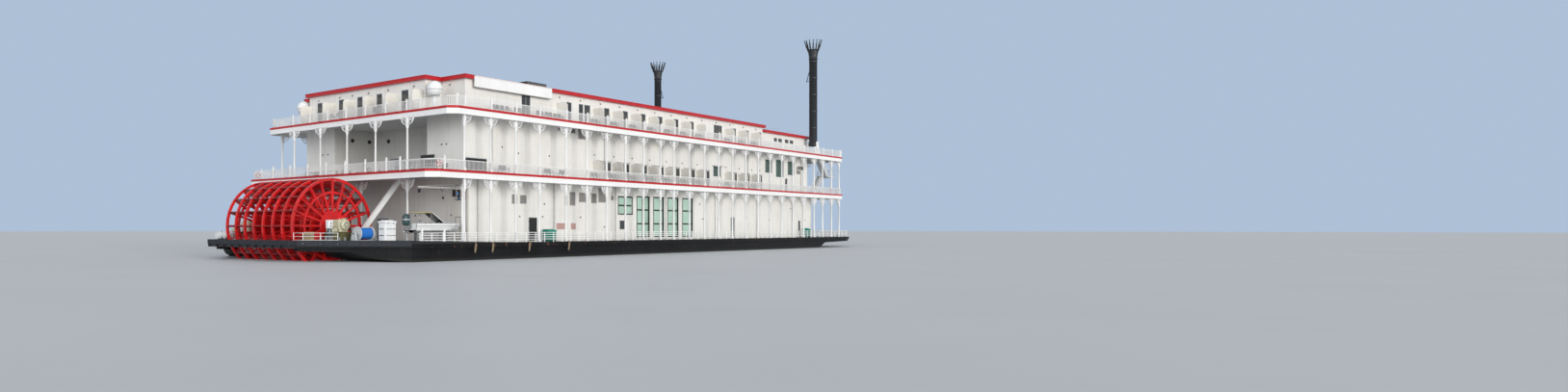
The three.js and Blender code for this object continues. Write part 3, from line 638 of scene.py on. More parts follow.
def glazed(name, colour, depth):
    """A window pane seen from outside: tinted, smooth, a little uneven, with a dim room behind it."""
    wiring = Wiring(name, Coat_Weight=0.6, Coat_Roughness=0.03, Specular_IOR_Level=0.7)
    dim = shade(colour, 1.0 - 0.4 * depth)
    tone = wiring.blend(wiring.level(wiring.noise(5.0, 2.0), 0.3, 0.7), dim, colour)
    rough = wiring.level(wiring.noise(40.0, 2.0), 0.3, 0.7, 0.04, 0.1)
    return wiring.done(tone, rough, wiring.bump(wiring.noise(14.0, 1.0), 0.0006, 0.12))


def black_metal(name):
    """Thin black paint over metal."""
    wiring = Wiring(name)
    drift = wiring.noise(40.0, 4.0)
    tone = wiring.blend(drift, (0.012, 0.012, 0.013), (0.03, 0.029, 0.028))
    return wiring.done(tone, wiring.level(drift, 0.3, 0.7, 0.35, 0.6), wiring.bump(drift, 0.0004, 0.3))


def bare_steel(name):
    """Drawn steel with its fine lines."""
    wiring = Wiring(name, Metallic=1.0)
    drift = wiring.noise(1.0, 5.0, 0.6, wiring.scaled(20.0, 240.0, 20.0))
    tone = wiring.blend(drift, (0.32, 0.33, 0.34), (0.5, 0.5, 0.5))
    return wiring.done(tone, wiring.level(drift, 0.3, 0.7, 0.25, 0.45), wiring.bump(drift, 0.0003, 0.3))


def moulded(name, colour, gloss):
    """Gel-coated or moulded plastic: even colour, faint orange peel, faint darker patches of dust."""
    wiring = Wiring(name, Coat_Weight=0.25, Coat_Roughness=0.2)
    drift = wiring.noise(8.0, 4.0)
    tone = wiring.blend(wiring.level(drift, 0.35, 0.75), colour, shade(colour, 0.86))
    rough = wiring.level(drift, 0.3, 0.7, gloss, gloss + 0.15)
    return wiring.done(tone, rough, wiring.bump(wiring.noise(240.0, 2.0), 0.0003, 0.25))


def rope(name):
    """Laid rope: a slanting twist, weathered to grey-brown, with painted shade in the grooves of the lay."""
    wiring = Wiring(name)
    wave = wiring.node("TexWave", {"Scale": 160.0, "Distortion": 1.5, "Vector": wiring.place})
    # The wave that dents the grooves also darkens them: painted shade between the strands.
    tone = wiring.blend(wave, (0.16, 0.11, 0.07), (0.36, 0.27, 0.18))
    return wiring.done(tone, wiring.level(wave, 0.0, 1.0, 0.8, 0.95), wiring.bump(wave, 0.0015, 0.6))


FINISHES = {make.__name__: make for make in (
    tan_wood, wheel_red, paddle_red, hull_black, black_metal, bare_steel, rope
)}


def surface(finish):
    """The material of a finish, made the first time that it is asked for."""
    made = bpy.data.materials.get(finish)
    if made:
        return made
    if finish in FINISHES:
        return FINISHES[finish](finish)
    for table, make in ((PAINTS, painted), (MOULDINGS, moulded), (GLASSES, glazed), (TOPPED, topped)):
        if finish in table:
            colour, *rest = table[finish]
            if finish == "wall_white":
                rest.append(WALL_PLATES)
            return make(finish, scene_colour(colour) if isinstance(colour, str) else colour, *rest)


def repaint(finish, *nodes):
    """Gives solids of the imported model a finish."""
    for node in nodes:
        slots = frame["nodes"][node].data.materials
        slots.clear()
        slots.append(surface(finish))


def both_sides(stem):
    """The names of a pair of nodes."""
    return [f"{stem}_{side}" for side in ("starboard", "port")]


# Outlines of the decks


BOW_START = 8.86
BOW_REACH = 0.54
BOW_STEPS = 24


def bow_curve(half):
    """The round edge of the main deck at the bow, from starboard to port."""
    points = []
    for i in range(BOW_STEPS + 1):
        angle = -math.pi / 2 + math.pi * i / BOW_STEPS
        forward = abs(math.cos(angle)) ** (2 / 2.6)
        sideways = math.copysign(abs(math.sin(angle)) ** (2 / 2.6), angle)
        points.append((along(BOW_START) + BOW_REACH * forward, half * sideways))
    return points


def upper_outline(node, corner):
    """The outline of an upper deck, anticlockwise from the starboard quarter."""
    low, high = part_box(node)
    bow_corner = 0.03
    return [
        (low.x, low.y + corner),
        (low.x + corner, low.y),
        (high.x - bow_corner, low.y),
        (high.x, low.y + bow_corner),
        (high.x, high.y - bow_corner),
        (high.x - bow_corner, high.y),
        (low.x + corner, high.y),
        (low.x, high.y - corner),
    ]


DECKS = (
    {"name": "second_deck", "top": DECK2, "corner": 0.1},
    {"name": "third_deck", "top": DECK3, "corner": 0.08},
)


# Walls: a wall's own axes run along it, up, and out from it


def side_wall(level):
    """The starboard side wall, measured from the aftmost post and from a deck."""
    return placing((AFT_POST, -HOUSE_HALF, level), (1, 0, 0), (0, 0, 1), (0, -1, 0))


def end_wall(x, level, facing):
    """A wall across the ship, measured from the centreline to port."""
    return placing((x, 0, level), (0, 1, 0), (0, 0, 1), (facing, 0, 0))


def window(
    form, left, right, low, high, columns, rows, glass="deep_glass", rim="gear_grey", back=0.0, bar=0.0045
):
    """A framed pane with its bars; back is how far the glass lies behind the wall's face."""
    edge, proud, casing = max(0.006, bar * 0.8), 0.004, 0.009
    form.box((left, low, -back - 0.004), (right, high, -back + 0.0008), 0, glass)
    for a, b in both_ways(left, right, edge):
        form.box((a, low, -back - 0.005), (b, high, proud), 0.0012, rim)
    for a, b in both_ways(low, high, edge):
        form.box((left, a, -back - 0.005), (right, b, proud), 0.0012, rim)
    for i in range(1, columns):
        middle = left + (right - left) * i / columns
        form.box((middle - bar * 0.3, low, -back), (middle + bar * 0.3, high, -back + 0.004), 0, rim)
    for i in range(1, rows):
        middle = low + (high - low) * i / rows
        form.box((left, middle - bar / 2, -back), (right, middle + bar / 2, -back + 0.006), 0, rim)
    for a, b in ((left - casing, left), (right, right + casing)):
        form.box((a, low - casing, -0.001), (b, high + casing, 0.003), 0.001, "trim_white")
    form.boxes([
        ((left, high, -0.001), (right, high + casing, 0.003)),
        ((left - casing, low - casing, -0.001), (right + casing, low, 0.006)),
    ], 0.001, "trim_white")


def door(form, left, right, high, leaves=1, glass="dark_glass"):
    """A glazed door with its frame, kick panel and handle."""
    frame_width = 0.006
    form.boxes([
        ((left - frame_width, 0, -0.001), (left, high, 0.0045)),
        ((right, 0, -0.001), (right + frame_width, high, 0.0045)),
    ], 0.001, "trim_white")
    top = (left - frame_width, high), (right + frame_width, high + frame_width)
    form.box((*top[0], -0.001), (*top[1], 0.0055), 0.001, "trim_white")
    width = (right - left) / leaves
    for leaf in range(leaves):
        a = left + leaf * width
        b = a + width
        form.box((a, 0.004, -0.002), (b, high, 0.001), 0, glass)
        for c, d in both_ways(a, b, 0.007):
            form.box((c, 0.004, -0.002), (d, high, 0.0025), 0, "gear_grey")
        for c, d in ((0.004, 0.03), (high * 0.5, high * 0.5 + 0.006), (high - 0.008, high)):
            form.box((a, c, -0.002), (b, d, 0.0025), 0, "gear_grey")
        form.bolt((b - 0.011, high * 0.4, 0.001), (b - 0.011, high * 0.48, 0.006), 0.0012)


def louvre(form, left, right, low, high, finish="louvre_grey"):
    """A vent: a frame with sloping blades over a dark box."""
    edge = 0.004
    form.box((left, low, -0.002), (right, high, 0.0006), 0, "black_metal")
    for a, b in both_ways(left, right, edge):
        form.box((a, low, -0.001), (b, high, 0.006), 0.0008, finish)
    for a, b in both_ways(low, high, edge):
        form.box((left, a, -0.001), (right, b, 0.006), 0.0008, finish)
    count = max(3, round((high - low) / 0.011))
    for i in range(count):
        base = low + edge + (high - low - 2 * edge) * i / count
        blade = [(base, 0.005), (base + 0.002, 0.005), (base + 0.0075, 0.001), (base + 0.0055, 0.001)]
        form.add(prism(blade, left + edge, right - edge, "x"), finish)


def wall_lamp(form, u, v):
    """A small black lamp on its bracket."""
    form.box((u - 0.004, v - 0.002, -0.001), (u + 0.004, v + 0.008, 0.004), 0.001, "black_metal")
    lamp = lathe([(0, -0.009), (0.005, -0.0085), (0.0065, -0.002), (0.0045, 0.003), (0, 0.004)], 10)
    form.round(lamp, "black_metal", placing((u, v, 0.008), (1, 0, 0), (0, 0, -1), (0, 1, 0)))


# Large windows of the main deck's house: ends along the side, height of sill and head, and panes
MAIN_WINDOWS = (
    {"ends": (2.77, 3.075), "heights": (0.307, 0.533), "panes": (2, 2)},
    {"ends": (3.157, 3.44), "heights": (0.028, 0.543), "panes": (2, 3)},
    {"ends": (3.52, 3.76), "heights": (0.028, 0.543), "panes": (1, 3)},
    {"ends": (3.84, 4.10), "heights": (0.028, 0.543), "panes": (1, 3)},
    {"ends": (4.19, 4.45), "heights": (0.028, 0.543), "panes": (1, 3)},
)
UPPER_WINDOWS = (
    {"ends": (6.478, 6.692), "heights": (0.278, 0.481), "panes": (2, 2)},
    {"ends": (6.82, 7.07), "heights": (0.227, 0.495), "panes": (2, 1)},
    {"ends": (7.21, 7.43), "heights": (0.273, 0.489), "panes": (2, 2)},
)
# Vents of the side walls: left, right, low, high
MAIN_VENTS = (
    (0.903, 0.978, 0.402, 0.501),
    (1.028, 1.128, 0.405, 0.497),
    (1.771, 1.813, 0.4, 0.552),
    (1.861, 1.956, 0.402, 0.554),
    (2.027, 2.155, 0.442, 0.553),
    (2.252, 2.354, 0.435, 0.548),
    (2.391, 2.531, 0.447, 0.615),
    (2.635, 2.683, 0.477, 0.529),
)
UPPER_VENTS = (
    (1.655, 1.715, 0.538, 0.56),
    (1.861, 1.956, 0.52, 0.576),
    (2.013, 2.182, 0.464, 0.585),
)


def main_side_form():
    """Doors, windows, vents and lamps of the main deck's side."""
    form = Form("trim_white", side_wall(DECK1))
    for row in MAIN_WINDOWS:
        window(form, *row["ends"], *row["heights"], *row["panes"], "green_glass", "black_metal", 0.012, 0.018)
    for vent in MAIN_VENTS:
        louvre(form, *vent)
    window(form, 2.808, 2.907, 0.131, 0.236, 1, 1, "dark_glass", "black_metal")
    for left, right in ((1.62, 1.82), (1.87, 1.97)):
        form.box((left, 0.126, -0.001), (right, 0.208, 0.004), 0.001)
        form.box((left + 0.006, 0.132, 0), (right - 0.006, 0.202, 0.0048), 0.0005, "pink_brown")
    for a, b in ((1.148, 1.158), (1.3, 1.312)):
        form.box((a, 0, -0.001), (b, 0.27, 0.004), 0.001)
    form.box((1.148, 0.262, -0.001), (1.312, 0.274, 0.007), 0.001)
    door(form, 5.45, 5.56, 0.3)
    door(form, 7.57, 7.645, 0.264)
    for u, v in (
        (1.02, 0.27), (1.39, 0.27), (1.42, 0.41), (2.05, 0.27), (2.5, 0.16), (4.62, 0.47), (4.7, 0.27),
        (5.1, 0.27), (5.9, 0.3), (6.6, 0.27), (7.3, 0.45), (7.8, 0.27)
    ):
        wall_lamp(form, u, v)
    return form


def upper_side_form():
    """Doors, windows, vents and lamps of the second deck's side."""
    form = Form(base=side_wall(DECK2))
    for row in UPPER_WINDOWS:
        window(form, *row["ends"], *row["heights"], *row["panes"])
    for vent in UPPER_VENTS:
        louvre(form, *vent)
    for place in CABIN_PLACES:
        if abs(place - 4.9) > 0.2:
            door(form, place + 0.25, place + 0.34, 0.225)
            window(form, place + 0.07, place + 0.235, 0.02, 0.225, 2, 1, "dark_glass", "louvre_grey")
            form.box((place + 0.06, 0.232, 0), (place + 0.35, 0.238, 0.008), 0.001, "gear_grey")
        wall_lamp(form, place + 0.02, 0.3)
    window(form, 4.98, 5.18, 0.16, 0.31, 2, 1)
    awning = [(0.31, 0.0), (0.318, 0.0), (0.3, 0.045), (0.294, 0.045)]
    form.add(prism(awning, 4.96, 5.2, "x"), "pale_grey")
    for u, v in ((0.75, 0.29), (1.0, 0.24), (1.5, 0.24), (6.3, 0.3), (7.6, 0.4)):
        wall_lamp(form, u, v)
    door(form, 7.12, 7.2, 0.215)
    louvre(form, 7.52, 7.64, 0.3, 0.42)
    window(form, 7.56, 7.8, 0.37, 0.43, 1, 1, "dark_glass", "black_metal")
    return form


def top_side_form():
    """Doors and lamps of the third deck's side."""
    form = Form(base=side_wall(DECK3))
    for place in TOP_CABIN_PLACES[1:7]:
        door(form, place + 0.205, place + 0.31, 0.25)
    for left, right in (
        (1.05, 1.19), (1.8, 1.89), (2.02, 2.1), (2.12, 2.23), (5.495, 5.6), (5.87, 5.975), (6.245, 6.35)
    ):
        door(form, left, right, 0.25, 2 if right - left > 0.13 else 1)
    window(form, 4.99, 5.21, 0.07, 0.26, 3, 1, "dark_glass", "louvre_grey")
    for i in range(16):
        wall_lamp(form, 0.55 + 0.375 * i, 0.288)
    for left, right in ((6.754, 6.854), (6.898, 7.013), (7.116, 7.233), (7.279, 7.398)):
        window(form, left, right, 0.15, 0.205, 1, 1, "dark_glass", "black_metal")
    return form


class STEAMER_OT_walls(bpy.types.Operator):
    """Paints the houses and sets their windows, doors, vents and lamps"""

    bl_idname = "steamer.walls"
    bl_label = "Walls, windows and doors"

    def execute(self, context):
        repaint("wall_white", "main_house", "upper_house", "top_house", "bridge_house")
        for name, make in (
            ("main_side_fittings", main_side_form),
            ("second_side_fittings", upper_side_form),
            ("third_side_fittings", top_side_form),
        ):
            make().mirrored().piece(name, "white_paint")
        return {"FINISHED"}


class STEAMER_OT_end_walls(bpy.types.Operator):
    """Sets the doors, windows and lamps of the walls across the ship"""

    bl_idname = "steamer.end_walls"
    bl_label = "End walls"

    def execute(self, context):
        form = Form(base=end_wall(along(0.0), DECK3, -1))
        for a, b in ((0.75, 0.845), (0.345, 0.441), (0.015, 0.109), (-0.32, -0.225), (-0.745, -0.632)):
            door(form, a, b, 0.25)
        for y in (0.82, 0.42, 0.19, -0.09, -0.42, -0.83):
            wall_lamp(form, y, 0.275)
        form.base = end_wall(along(0.22), DECK3, -1)
        for y in (-1.13, 1.13):
            wall_lamp(form, y, 0.285)
        form.base = end_wall(along(0.265), DECK1, -1)
        door(form, -0.1, 0.1, 0.25, 2)
        for y in (-1.1, -0.55, 0.55, 1.1):
            wall_lamp(form, y, 0.28)
        form.base = end_wall(along(0.8), DECK2, -1)
        door(form, -0.62, -0.4, 0.26, 2, "pale_grey")
        door(form, 0.3, 0.52, 0.26, 2, "pale_grey")
        form.base = end_wall(along(7.9), DECK2, 1)
        for y in (-0.9, -0.3, 0.3, 0.9):
            window(form, y - 0.14, y + 0.14, 0.05, 0.42, 2, 2, "deep_glass", "gear_grey")
        form.base = end_wall(along(8.05), DECK1, 1)
        for y in (-0.95, -0.45, 0.45, 0.95):
            window(form, y - 0.13, y + 0.13, 0.1, 0.42, 2, 2, "deep_glass", "gear_grey")
        door(form, -0.12, 0.12, 0.26, 2)
        form.base = end_wall(along(7.9), DECK3, 1)
        for y in (-0.95, -0.63, -0.31, 0.01, 0.33, 0.65):
            window(form, y, y + 0.29, 0.115, 0.22, 2, 1, "dark_glass", "black_metal", 0.012)
        form.piece("end_wall_fittings", "white_paint")
        return {"FINISHED"}


class STEAMER_OT_partitions(bpy.types.Operator):
    """Makes the cream partitions between the balconies"""

    bl_idname = "steamer.partitions"
    bl_label = "Balcony partitions"

    def execute(self, context):
        sizes = context.scene.steamer_sizes
        reach, height, corner = 0.1555, sizes.partition_height, 0.03
        thick = 0.0044
        outline = [(0, 0), (reach, 0), (reach, height - corner), (reach - corner, height), (0, height)]
        rim = strip([
            (reach - 0.003, 0.003), (reach - 0.003, height - corner), (reach - corner, height - 0.003),
            (0, height - 0.003)
        ], 0.006)
        panel = Form("cream")
        panel.add(prism(outline, -thick, thick, "y"))
        panel.add(prism(rim, -thick - 0.001, thick + 0.001, "y"))
        for z in (0.02, height * 0.5, height - 0.03):
            panel.box((-0.001, -thick - 0.002, z), (0.012, thick + 0.002, z + 0.01), 0.0008, "pale_grey")
        form = Form()
        for level, places in ((DECK2, CABIN_PLACES), (DECK3, TOP_CABIN_PLACES)):
            form.copies(
                panel,
                [placing((along(x) + 0.004, -HOUSE_HALF, level), (0, -1, 0), (1, 0, 0)) for x in places]
            )
        form.mirrored()
        form.copies(panel, [placing((along(0.0), y + 0.004, DECK3), (-1, 0, 0)) for y in STERN_PARTITIONS])
        form.piece("balcony_partitions", "white_paint")
        return {"FINISHED"}


# Decks and their edges


class STEAMER_OT_decks(bpy.types.Operator):
    """Paints the decks and runs the red moulding and white boards round their edges"""

    bl_idname = "steamer.decks"
    bl_label = "Deck edges"

    def execute(self, context):
        repaint("main_deck_finish", "main_deck")
        repaint("upper_deck_finish", "second_deck", "third_deck")
        sizes = context.scene.steamer_sizes
        tall = sizes.red_band
        red = [
            (-0.01, -tall), (0.003, -tall), (0.0055, -tall * 0.75), (0.0055, -tall * 0.2), (0.003, 0.001),
            (-0.01, 0.001)
        ]
        bead = [
            (-0.004, -FASCIA - 0.002), (0.004, -FASCIA - 0.002), (0.005, -FASCIA + 0.004),
            (0.002, -FASCIA + 0.009), (-0.004, -FASCIA + 0.009)
        ]
        form = Form()
        for deck in DECKS:
            path = [(x, y, deck["top"]) for x, y in upper_outline(deck["name"], deck["corner"])]
            form.add(moulding(path, red), "trim_red")
            form.add(moulding(path, bead), "trim_white")
        form.piece("deck_edge_mouldings", "red_paint")
        return {"FINISHED"}


# Arcades


def bracket(reach, drop, thick, leafy):
    """A pierced bracket between a post and the beam above, along +x and down: bowed, or of leaf scrolls."""
    form = Form("trim_white")
    rim = []
    for i in range(11):
        t = i / 10
        rim.append((reach * math.cos(t * math.pi / 2), -drop * math.sin(t * math.pi / 2)))
    form.add(prism(strip(rim, 0.0065), -thick, thick, "y"))
    form.boxes([
        ((0, -thick, -0.005), (reach + 0.008, thick, 0.001)),
        ((-0.001, -thick, -drop - 0.004), (0.006, thick, 0)),
        ((reach - 0.004, -thick - 0.001, -0.014), (reach + 0.008, thick + 0.001, 0)),
    ])
    if leafy:
        rings = ((0.5, -0.33, 0.27), (0.2, -0.66, 0.13), (0.8, -0.14, 0.1))
        form.add(
            lathe([(0, -thick), (reach * 0.13, -thick), (reach * 0.13, thick), (0, thick)], 12),
            at=along_y((reach * 0.5, 0, -drop * 0.33))
        )
    else:
        rings = ((0.42, -0.3, 0.2), (0.16, -0.68, 0.09), (0.74, -0.13, 0.08))
        for share in (0.4, 0.6):
            form.box(
                (0, -thick * 0.7, -drop * share - 0.003), (reach * 0.24, thick * 0.7, -drop * share + 0.003)
            )
    for x, z, size in rings:
        outer = reach * size
        form.add(hoop(
            outer, outer - min(0.0045, outer * 0.4), -thick * 0.8, thick * 0.8, 14, "y", (reach * x, drop * z)
        ))
    return form


def column(height, drop):
    """A slender turned post from one deck to the next, square where the brackets meet it."""
    form = Form("trim_white")
    half = POST / 2
    form.box((-half - 0.004, -half - 0.004, 0), (half + 0.004, half + 0.004, 0.02), 0.002)
    neck = height - drop - 0.035
    outline = [
        (0, 0.018), (half + 0.002, 0.018), (half + 0.003, 0.03), (half - 0.001, 0.04), (half - 0.0005, 0.06),
        (half - 0.003, neck), (half + 0.0015, neck + 0.004), (half + 0.0015, neck + 0.01),
        (half - 0.002, neck + 0.014), (half + 0.003, neck + 0.026), (0, neck + 0.026)
    ]
    form.round(lathe(outline, 12))
    form.box((-half, -half, neck + 0.02), (half, half, height), 0.0015)
    return form


def arcade(places, level, height, reach, drop, leafy, ends=False, beam=True):
    """A row of columns along +x with brackets on both sides; ends gives the outer columns both too."""
    form = Form()
    head = height - FASCIA + SLAB + 0.004
    if not beam:
        height = head
    post = column(height, height - head + drop + 0.004)
    arm = bracket(reach, drop, 0.007, leafy)
    half = POST / 2
    form.copies(post, [placing((x, 0, level)) for x in places])
    for i, x in enumerate(places):
        if ends or i + 1 < len(places):
            form.copies(arm, [placing((x + half, 0, level + head))])
        if ends or i > 0:
            form.copies(arm, [placing((x - half, 0, level + head), (-1, 0, 0))])
    for a, b in zip(places, places[1:]) if beam else ():
        form.box((a + half, -0.008, level + head), (b - half, 0.008, level + height), 0.001, "trim_white")
    return form


ARCADES = (
    {
        "stem": "main", "level": DECK1, "height": DECK2 - DECK1 - SLAB - 0.0008, "reach": 0.08,
        "drop": 0.092, "leafy": True
    },
    {
        "stem": "upper", "level": DECK2, "height": DECK3 - DECK2 - SLAB - 0.0008, "reach": 0.078,
        "drop": 0.074, "leafy": False
    },
)


class STEAMER_OT_arcades(bpy.types.Operator):
    """Makes the rows of columns with pierced brackets along the sides and across both ends"""

    bl_idname = "steamer.arcades"
    bl_label = "Arcades"

    def execute(self, context):
        for row in ARCADES:
            shape = (row["level"], row["height"], row["reach"], row["drop"], row["leafy"])
            for side, y in (("starboard", -POST_LINE), ("port", POST_LINE)):
                form = Form()
                form.copies(arcade(POSTS, *shape), [placing((0, y, 0))])
                form.piece(f"{row['stem']}_columns_{side}", "white_paint", [f"{row['stem']}_arcade_{side}"])
            ends = (("stern", STERN_ROW, MAIN_STERN_POSTS if row["stem"] == "main" else CROSS_POSTS),
                    ("bow", BOW_ROW, CROSS_POSTS))
            for end, x, places in ends:
                form = Form()
                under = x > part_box("second_deck" if row["stem"] == "main" else "third_deck")[0].x
                form.copies(arcade(places, *shape, True, under), [placing((x, 0, 0), (0, 1, 0), (-1, 0, 0))])
                form.piece(f"{row['stem']}_{end}_columns", "white_paint", [f"{row['stem']}_{end}_posts"])
        return {"FINISHED"}


# Rails


def balustrade(form, path, level, newels=(), tall=0.006):
    """Rails along a line of points, with square balusters at an even pitch and newels above the rail."""
    sizes = bpy.context.scene.steamer_sizes
    pitch, width = sizes.baluster_pitch, sizes.baluster_width
    top = [
        (-0.0035, RAIL - 0.006), (0.0035, RAIL - 0.006), (0.0035, RAIL - 0.001), (0.0015, RAIL),
        (-0.0015, RAIL), (-0.0035, RAIL - 0.001)
    ]
    low = [(-0.0022, 0.01), (0.0022, 0.01), (0.0022, 0.014), (-0.0022, 0.014)]
    line = [(x, y, level) for x, y in path]
    form.add(moulding(line, top, False), "trim_white")
    form.add(moulding(line, low, False), "trim_white")
    baluster = Form().add(
        block((-width / 2, -width / 2, 0.011), (width / 2, width / 2, RAIL - 0.004)), "trim_white"
    )
    for (x0, y0), (x1, y1) in zip(path, path[1:]):
        length = math.hypot(x1 - x0, y1 - y0)
        count = max(2, round(length / pitch))
        shares = [(i + 0.5) / count for i in range(count)]
        form.copies(baluster, [placing((x0 + (x1 - x0) * s, y0 + (y1 - y0) * s, level)) for s in shares])
    if newels:
        newel = Form("trim_white")
        newel.box((-0.008, -0.008, 0), (0.008, 0.008, RAIL + tall), 0.0015)
        newel.box((-0.0105, -0.0105, RAIL + tall), (0.0105, 0.0105, RAIL + tall + 0.005), 0.0015)
        newel.round(ball(0.007, 8, 4), at=placing((0, 0, RAIL + tall + 0.01)))
        form.copies(newel, [placing((x, y, level)) for x, y in newels])


RAIL_LINE = POST_LINE + POST / 2 + 0.002
STERN_NEWELS = (-1.12, -0.912, -0.58, -0.248, 0.084, 0.416, 0.748, 1.08)


def stern_path(node, corner, fore):
    """The line of a stern rail from its starboard end round to port, and the places of its newels."""
    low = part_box(node)[0]
    aft = low.x + 0.02
    starboard = [(fore, -RAIL_LINE), (low.x + corner, -RAIL_LINE), (aft, -RAIL_LINE + corner)]
    port = [(x, -y) for x, y in reversed(starboard)]
    beside = max(along(-0.27), low.x + corner)
    newels = [(aft, y) for y in STERN_NEWELS] + [(beside, y) for y in (-RAIL_LINE, RAIL_LINE)]
    return starboard + port, newels


class STEAMER_OT_rails(bpy.types.Operator):
    """Makes the balustrades of the upper decks and the barred rail of the main deck"""

    bl_idname = "steamer.rails"
    bl_label = "Rails"

    def execute(self, context):
        second = Form()
        ends = [along(-0.045), *POSTS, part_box("second_deck")[1].x - 0.022]
        balustrade(second, [(x, -RAIL_LINE) for x in ends], DECK2)
        second.mirrored().piece("second_side_balustrades", "white_paint")

        third = Form()
        places = [along(-0.1), *POSTS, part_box("third_deck")[1].x - 0.022]
        line = [(x, -RAIL_LINE) for x in places]
        balustrade(third, line, DECK3, line)
        third.mirrored().piece("third_side_balustrades", "white_paint", both_sides("top_rail"))

        for name, corner, fore, level in (
            ("second", 0.1, along(-0.045), DECK2),
            ("third", 0.08, along(-0.106), DECK3),
        ):
            form = Form()
            path, newels = stern_path(f"{name}_deck", corner, fore)
            balustrade(form, path, level, newels, 0.022 if name == "second" else 0.004)
            form.piece(f"{name}_stern_balustrade", "white_paint", [f"{name}_stern_rail"])
            form = Form()
            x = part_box(f"{name}_deck")[1].x - 0.02
            outermost = 1.5 if name == "second" else 1.2
            newels = [(x, y) for y in np.arange(-outermost, outermost + 0.1, 0.3)]
            balustrade(form, [(x, -1.575), (x, 1.575)], level, newels)
            form.piece(f"{name}_bow_balustrade", "white_paint", [f"{name}_bow_rail"])

        form = Form()
        line = HALF_BEAM - 0.014
        bow = [(x - 0.014, y) for x, y in bow_curve(line)]
        path = [(along(-0.59), -line)] + bow + [(along(-0.59), line)]
        for height in (0.03, 0.053, 0.077, 0.1):
            form.round(sweep([(x, y, DECK1 + height) for x, y in path], 0.0032, 6), "trim_white")
        stanchion = Form("trim_white")
        stanchion.box((-0.0045, -0.0025, 0), (0.0045, 0.0025, 0.104), 0.001)
        stanchion.box((-0.009, -0.007, 0), (0.009, 0.007, 0.003), 0.001)
        aft, spacing = -0.585, 0.146
        straight = BOW_START - aft
        count = round(straight / spacing)
        places = [along(aft + straight * i / count) for i in range(count + 1)]
        form.copies(stanchion, [placing((x, y, DECK1)) for x in places for y in (-line, line)])
        form.copies(stanchion, [placing((x, y, DECK1), (0, 1, 0), (-1, 0, 0)) for x, y in bow[3:-3:2]])
        form.piece("main_deck_rail", "white_paint", ["main_rail"])
        return {"FINISHED"}


# Paddle wheel

WHEEL_AT = pivot("wheel_turn")
WHEEL_RADIUS = 0.469
SPOKES = 20
WHEEL_FRAMES = 8
WHEEL_HALF = 0.58
INNER_RING = 0.325


def wheel_frame(at_end):
    """One spoked frame of the wheel, flat across y."""
    form = Form("wheel_red")
    outer = WHEEL_RADIUS - 0.003
    form.add(hoop(outer, outer - 0.024, -0.008, 0.008, SPOKES * 2, "y"))
    form.add(hoop(outer + 0.001, outer - 0.004, -0.013, 0.013, SPOKES * 2, "y"))
    hub = [
        (0, -0.011), (0.145, -0.011), (0.148, -0.008), (0.148, 0.008), (0.145, 0.011), (0.06, 0.011),
        (0.055, 0.02), (0.045, 0.024), (0, 0.024)
    ]
    form.add(lathe(hub, 32), at=placing((0, 0, 0), (1, 0, 0), (0, 0, -1), (0, 1, 0)))
    spoke = Form("wheel_red")
    spoke.box((0.06, -0.0065, -0.011), (outer - 0.012, 0.0065, 0.011), 0.002)
    bolt = tube((0, -0.0105, 0), (0, 0.0105, 0), 0.0035, 6)
    for radius in (0.09, 0.13, INNER_RING, outer - 0.02, outer - 0.065):
        spoke.add(bolt, at=placing((radius, 0, 0)))
    if at_end:
        a = INNER_RING / math.cos(math.pi / SPOKES)
        chord = [(a, 0.0), (a * math.cos(2 * math.pi / SPOKES), a * math.sin(2 * math.pi / SPOKES))]
        spoke.add(prism(strip(chord, 0.02), -0.0095, -0.0035, "y"))
        spoke.add(prism(strip(chord, 0.02), 0.0035, 0.0095, "y"))
    form.copies(spoke, [turn(-2 * math.pi * i / SPOKES, "Y") for i in range(SPOKES)])
    return form


class STEAMER_OT_wheel(bpy.types.Operator):
    """Makes the paddle wheel: its frames, paddles, tie rods and shaft"""

    bl_idname = "steamer.wheel"
    bl_label = "Paddle wheel"

    def execute(self, context):
        sizes = context.scene.steamer_sizes
        form = Form()
        end_frame = wheel_frame(True)
        inner_frame = wheel_frame(False)
        for i in range(WHEEL_FRAMES):
            y = -WHEEL_HALF + 2 * WHEEL_HALF * i / (WHEEL_FRAMES - 1)
            chosen = end_frame if i in (0, WHEEL_FRAMES - 1) else inner_frame
            form.copies(chosen, [placing((0, y, 0))])
        bucket = Form("wheel_red")
        board = sizes.paddle_thickness / 2
        reach = WHEEL_HALF + 0.01
        for low, high in (
            (WHEEL_RADIUS - 0.096, WHEEL_RADIUS - 0.05), (WHEEL_RADIUS - 0.048, WHEEL_RADIUS - 0.001)
        ):
            bucket.box((low, -reach, -board), (high, reach, board), 0.0015, "paddle_red")
        for i in range(WHEEL_FRAMES):
            y = -WHEEL_HALF + 2 * WHEEL_HALF * i / (WHEEL_FRAMES - 1)
            bucket.box(
                (WHEEL_RADIUS - 0.09, y - 0.02, board), (WHEEL_RADIUS - 0.006, y + 0.02, board + 0.003), 0.001
            )
        for radius, size in ((INNER_RING, 0.0055), (0.2, 0.004)):
            bucket.rod((radius, -WHEEL_HALF, 0), (radius, WHEEL_HALF, 0), size, 8)
        form.copies(bucket, [turn(-2 * math.pi * i / SPOKES, "Y") for i in range(SPOKES)])
        shaft = [(0, -0.72), (0.027, -0.72), (0.03, -0.717), (0.03, 0.717), (0.027, 0.72), (0, 0.72)]
        flat = placing((0, 0, 0), (1, 0, 0), (0, 0, -1), (0, 1, 0))
        form.add(lathe(shaft, 24), "gear_grey", flat)
        wheel = Form().copies(form, [Matrix.Translation(WHEEL_AT)])
        wheel.piece("bucket_wheel", "red_paint", ["paddle_wheel"], body="wheel")
        return {"FINISHED"}


# Chimneys

CHIMNEY_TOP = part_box("chimney_starboard")[1].z
CHIMNEY_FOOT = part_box("chimney_starboard")[0].z


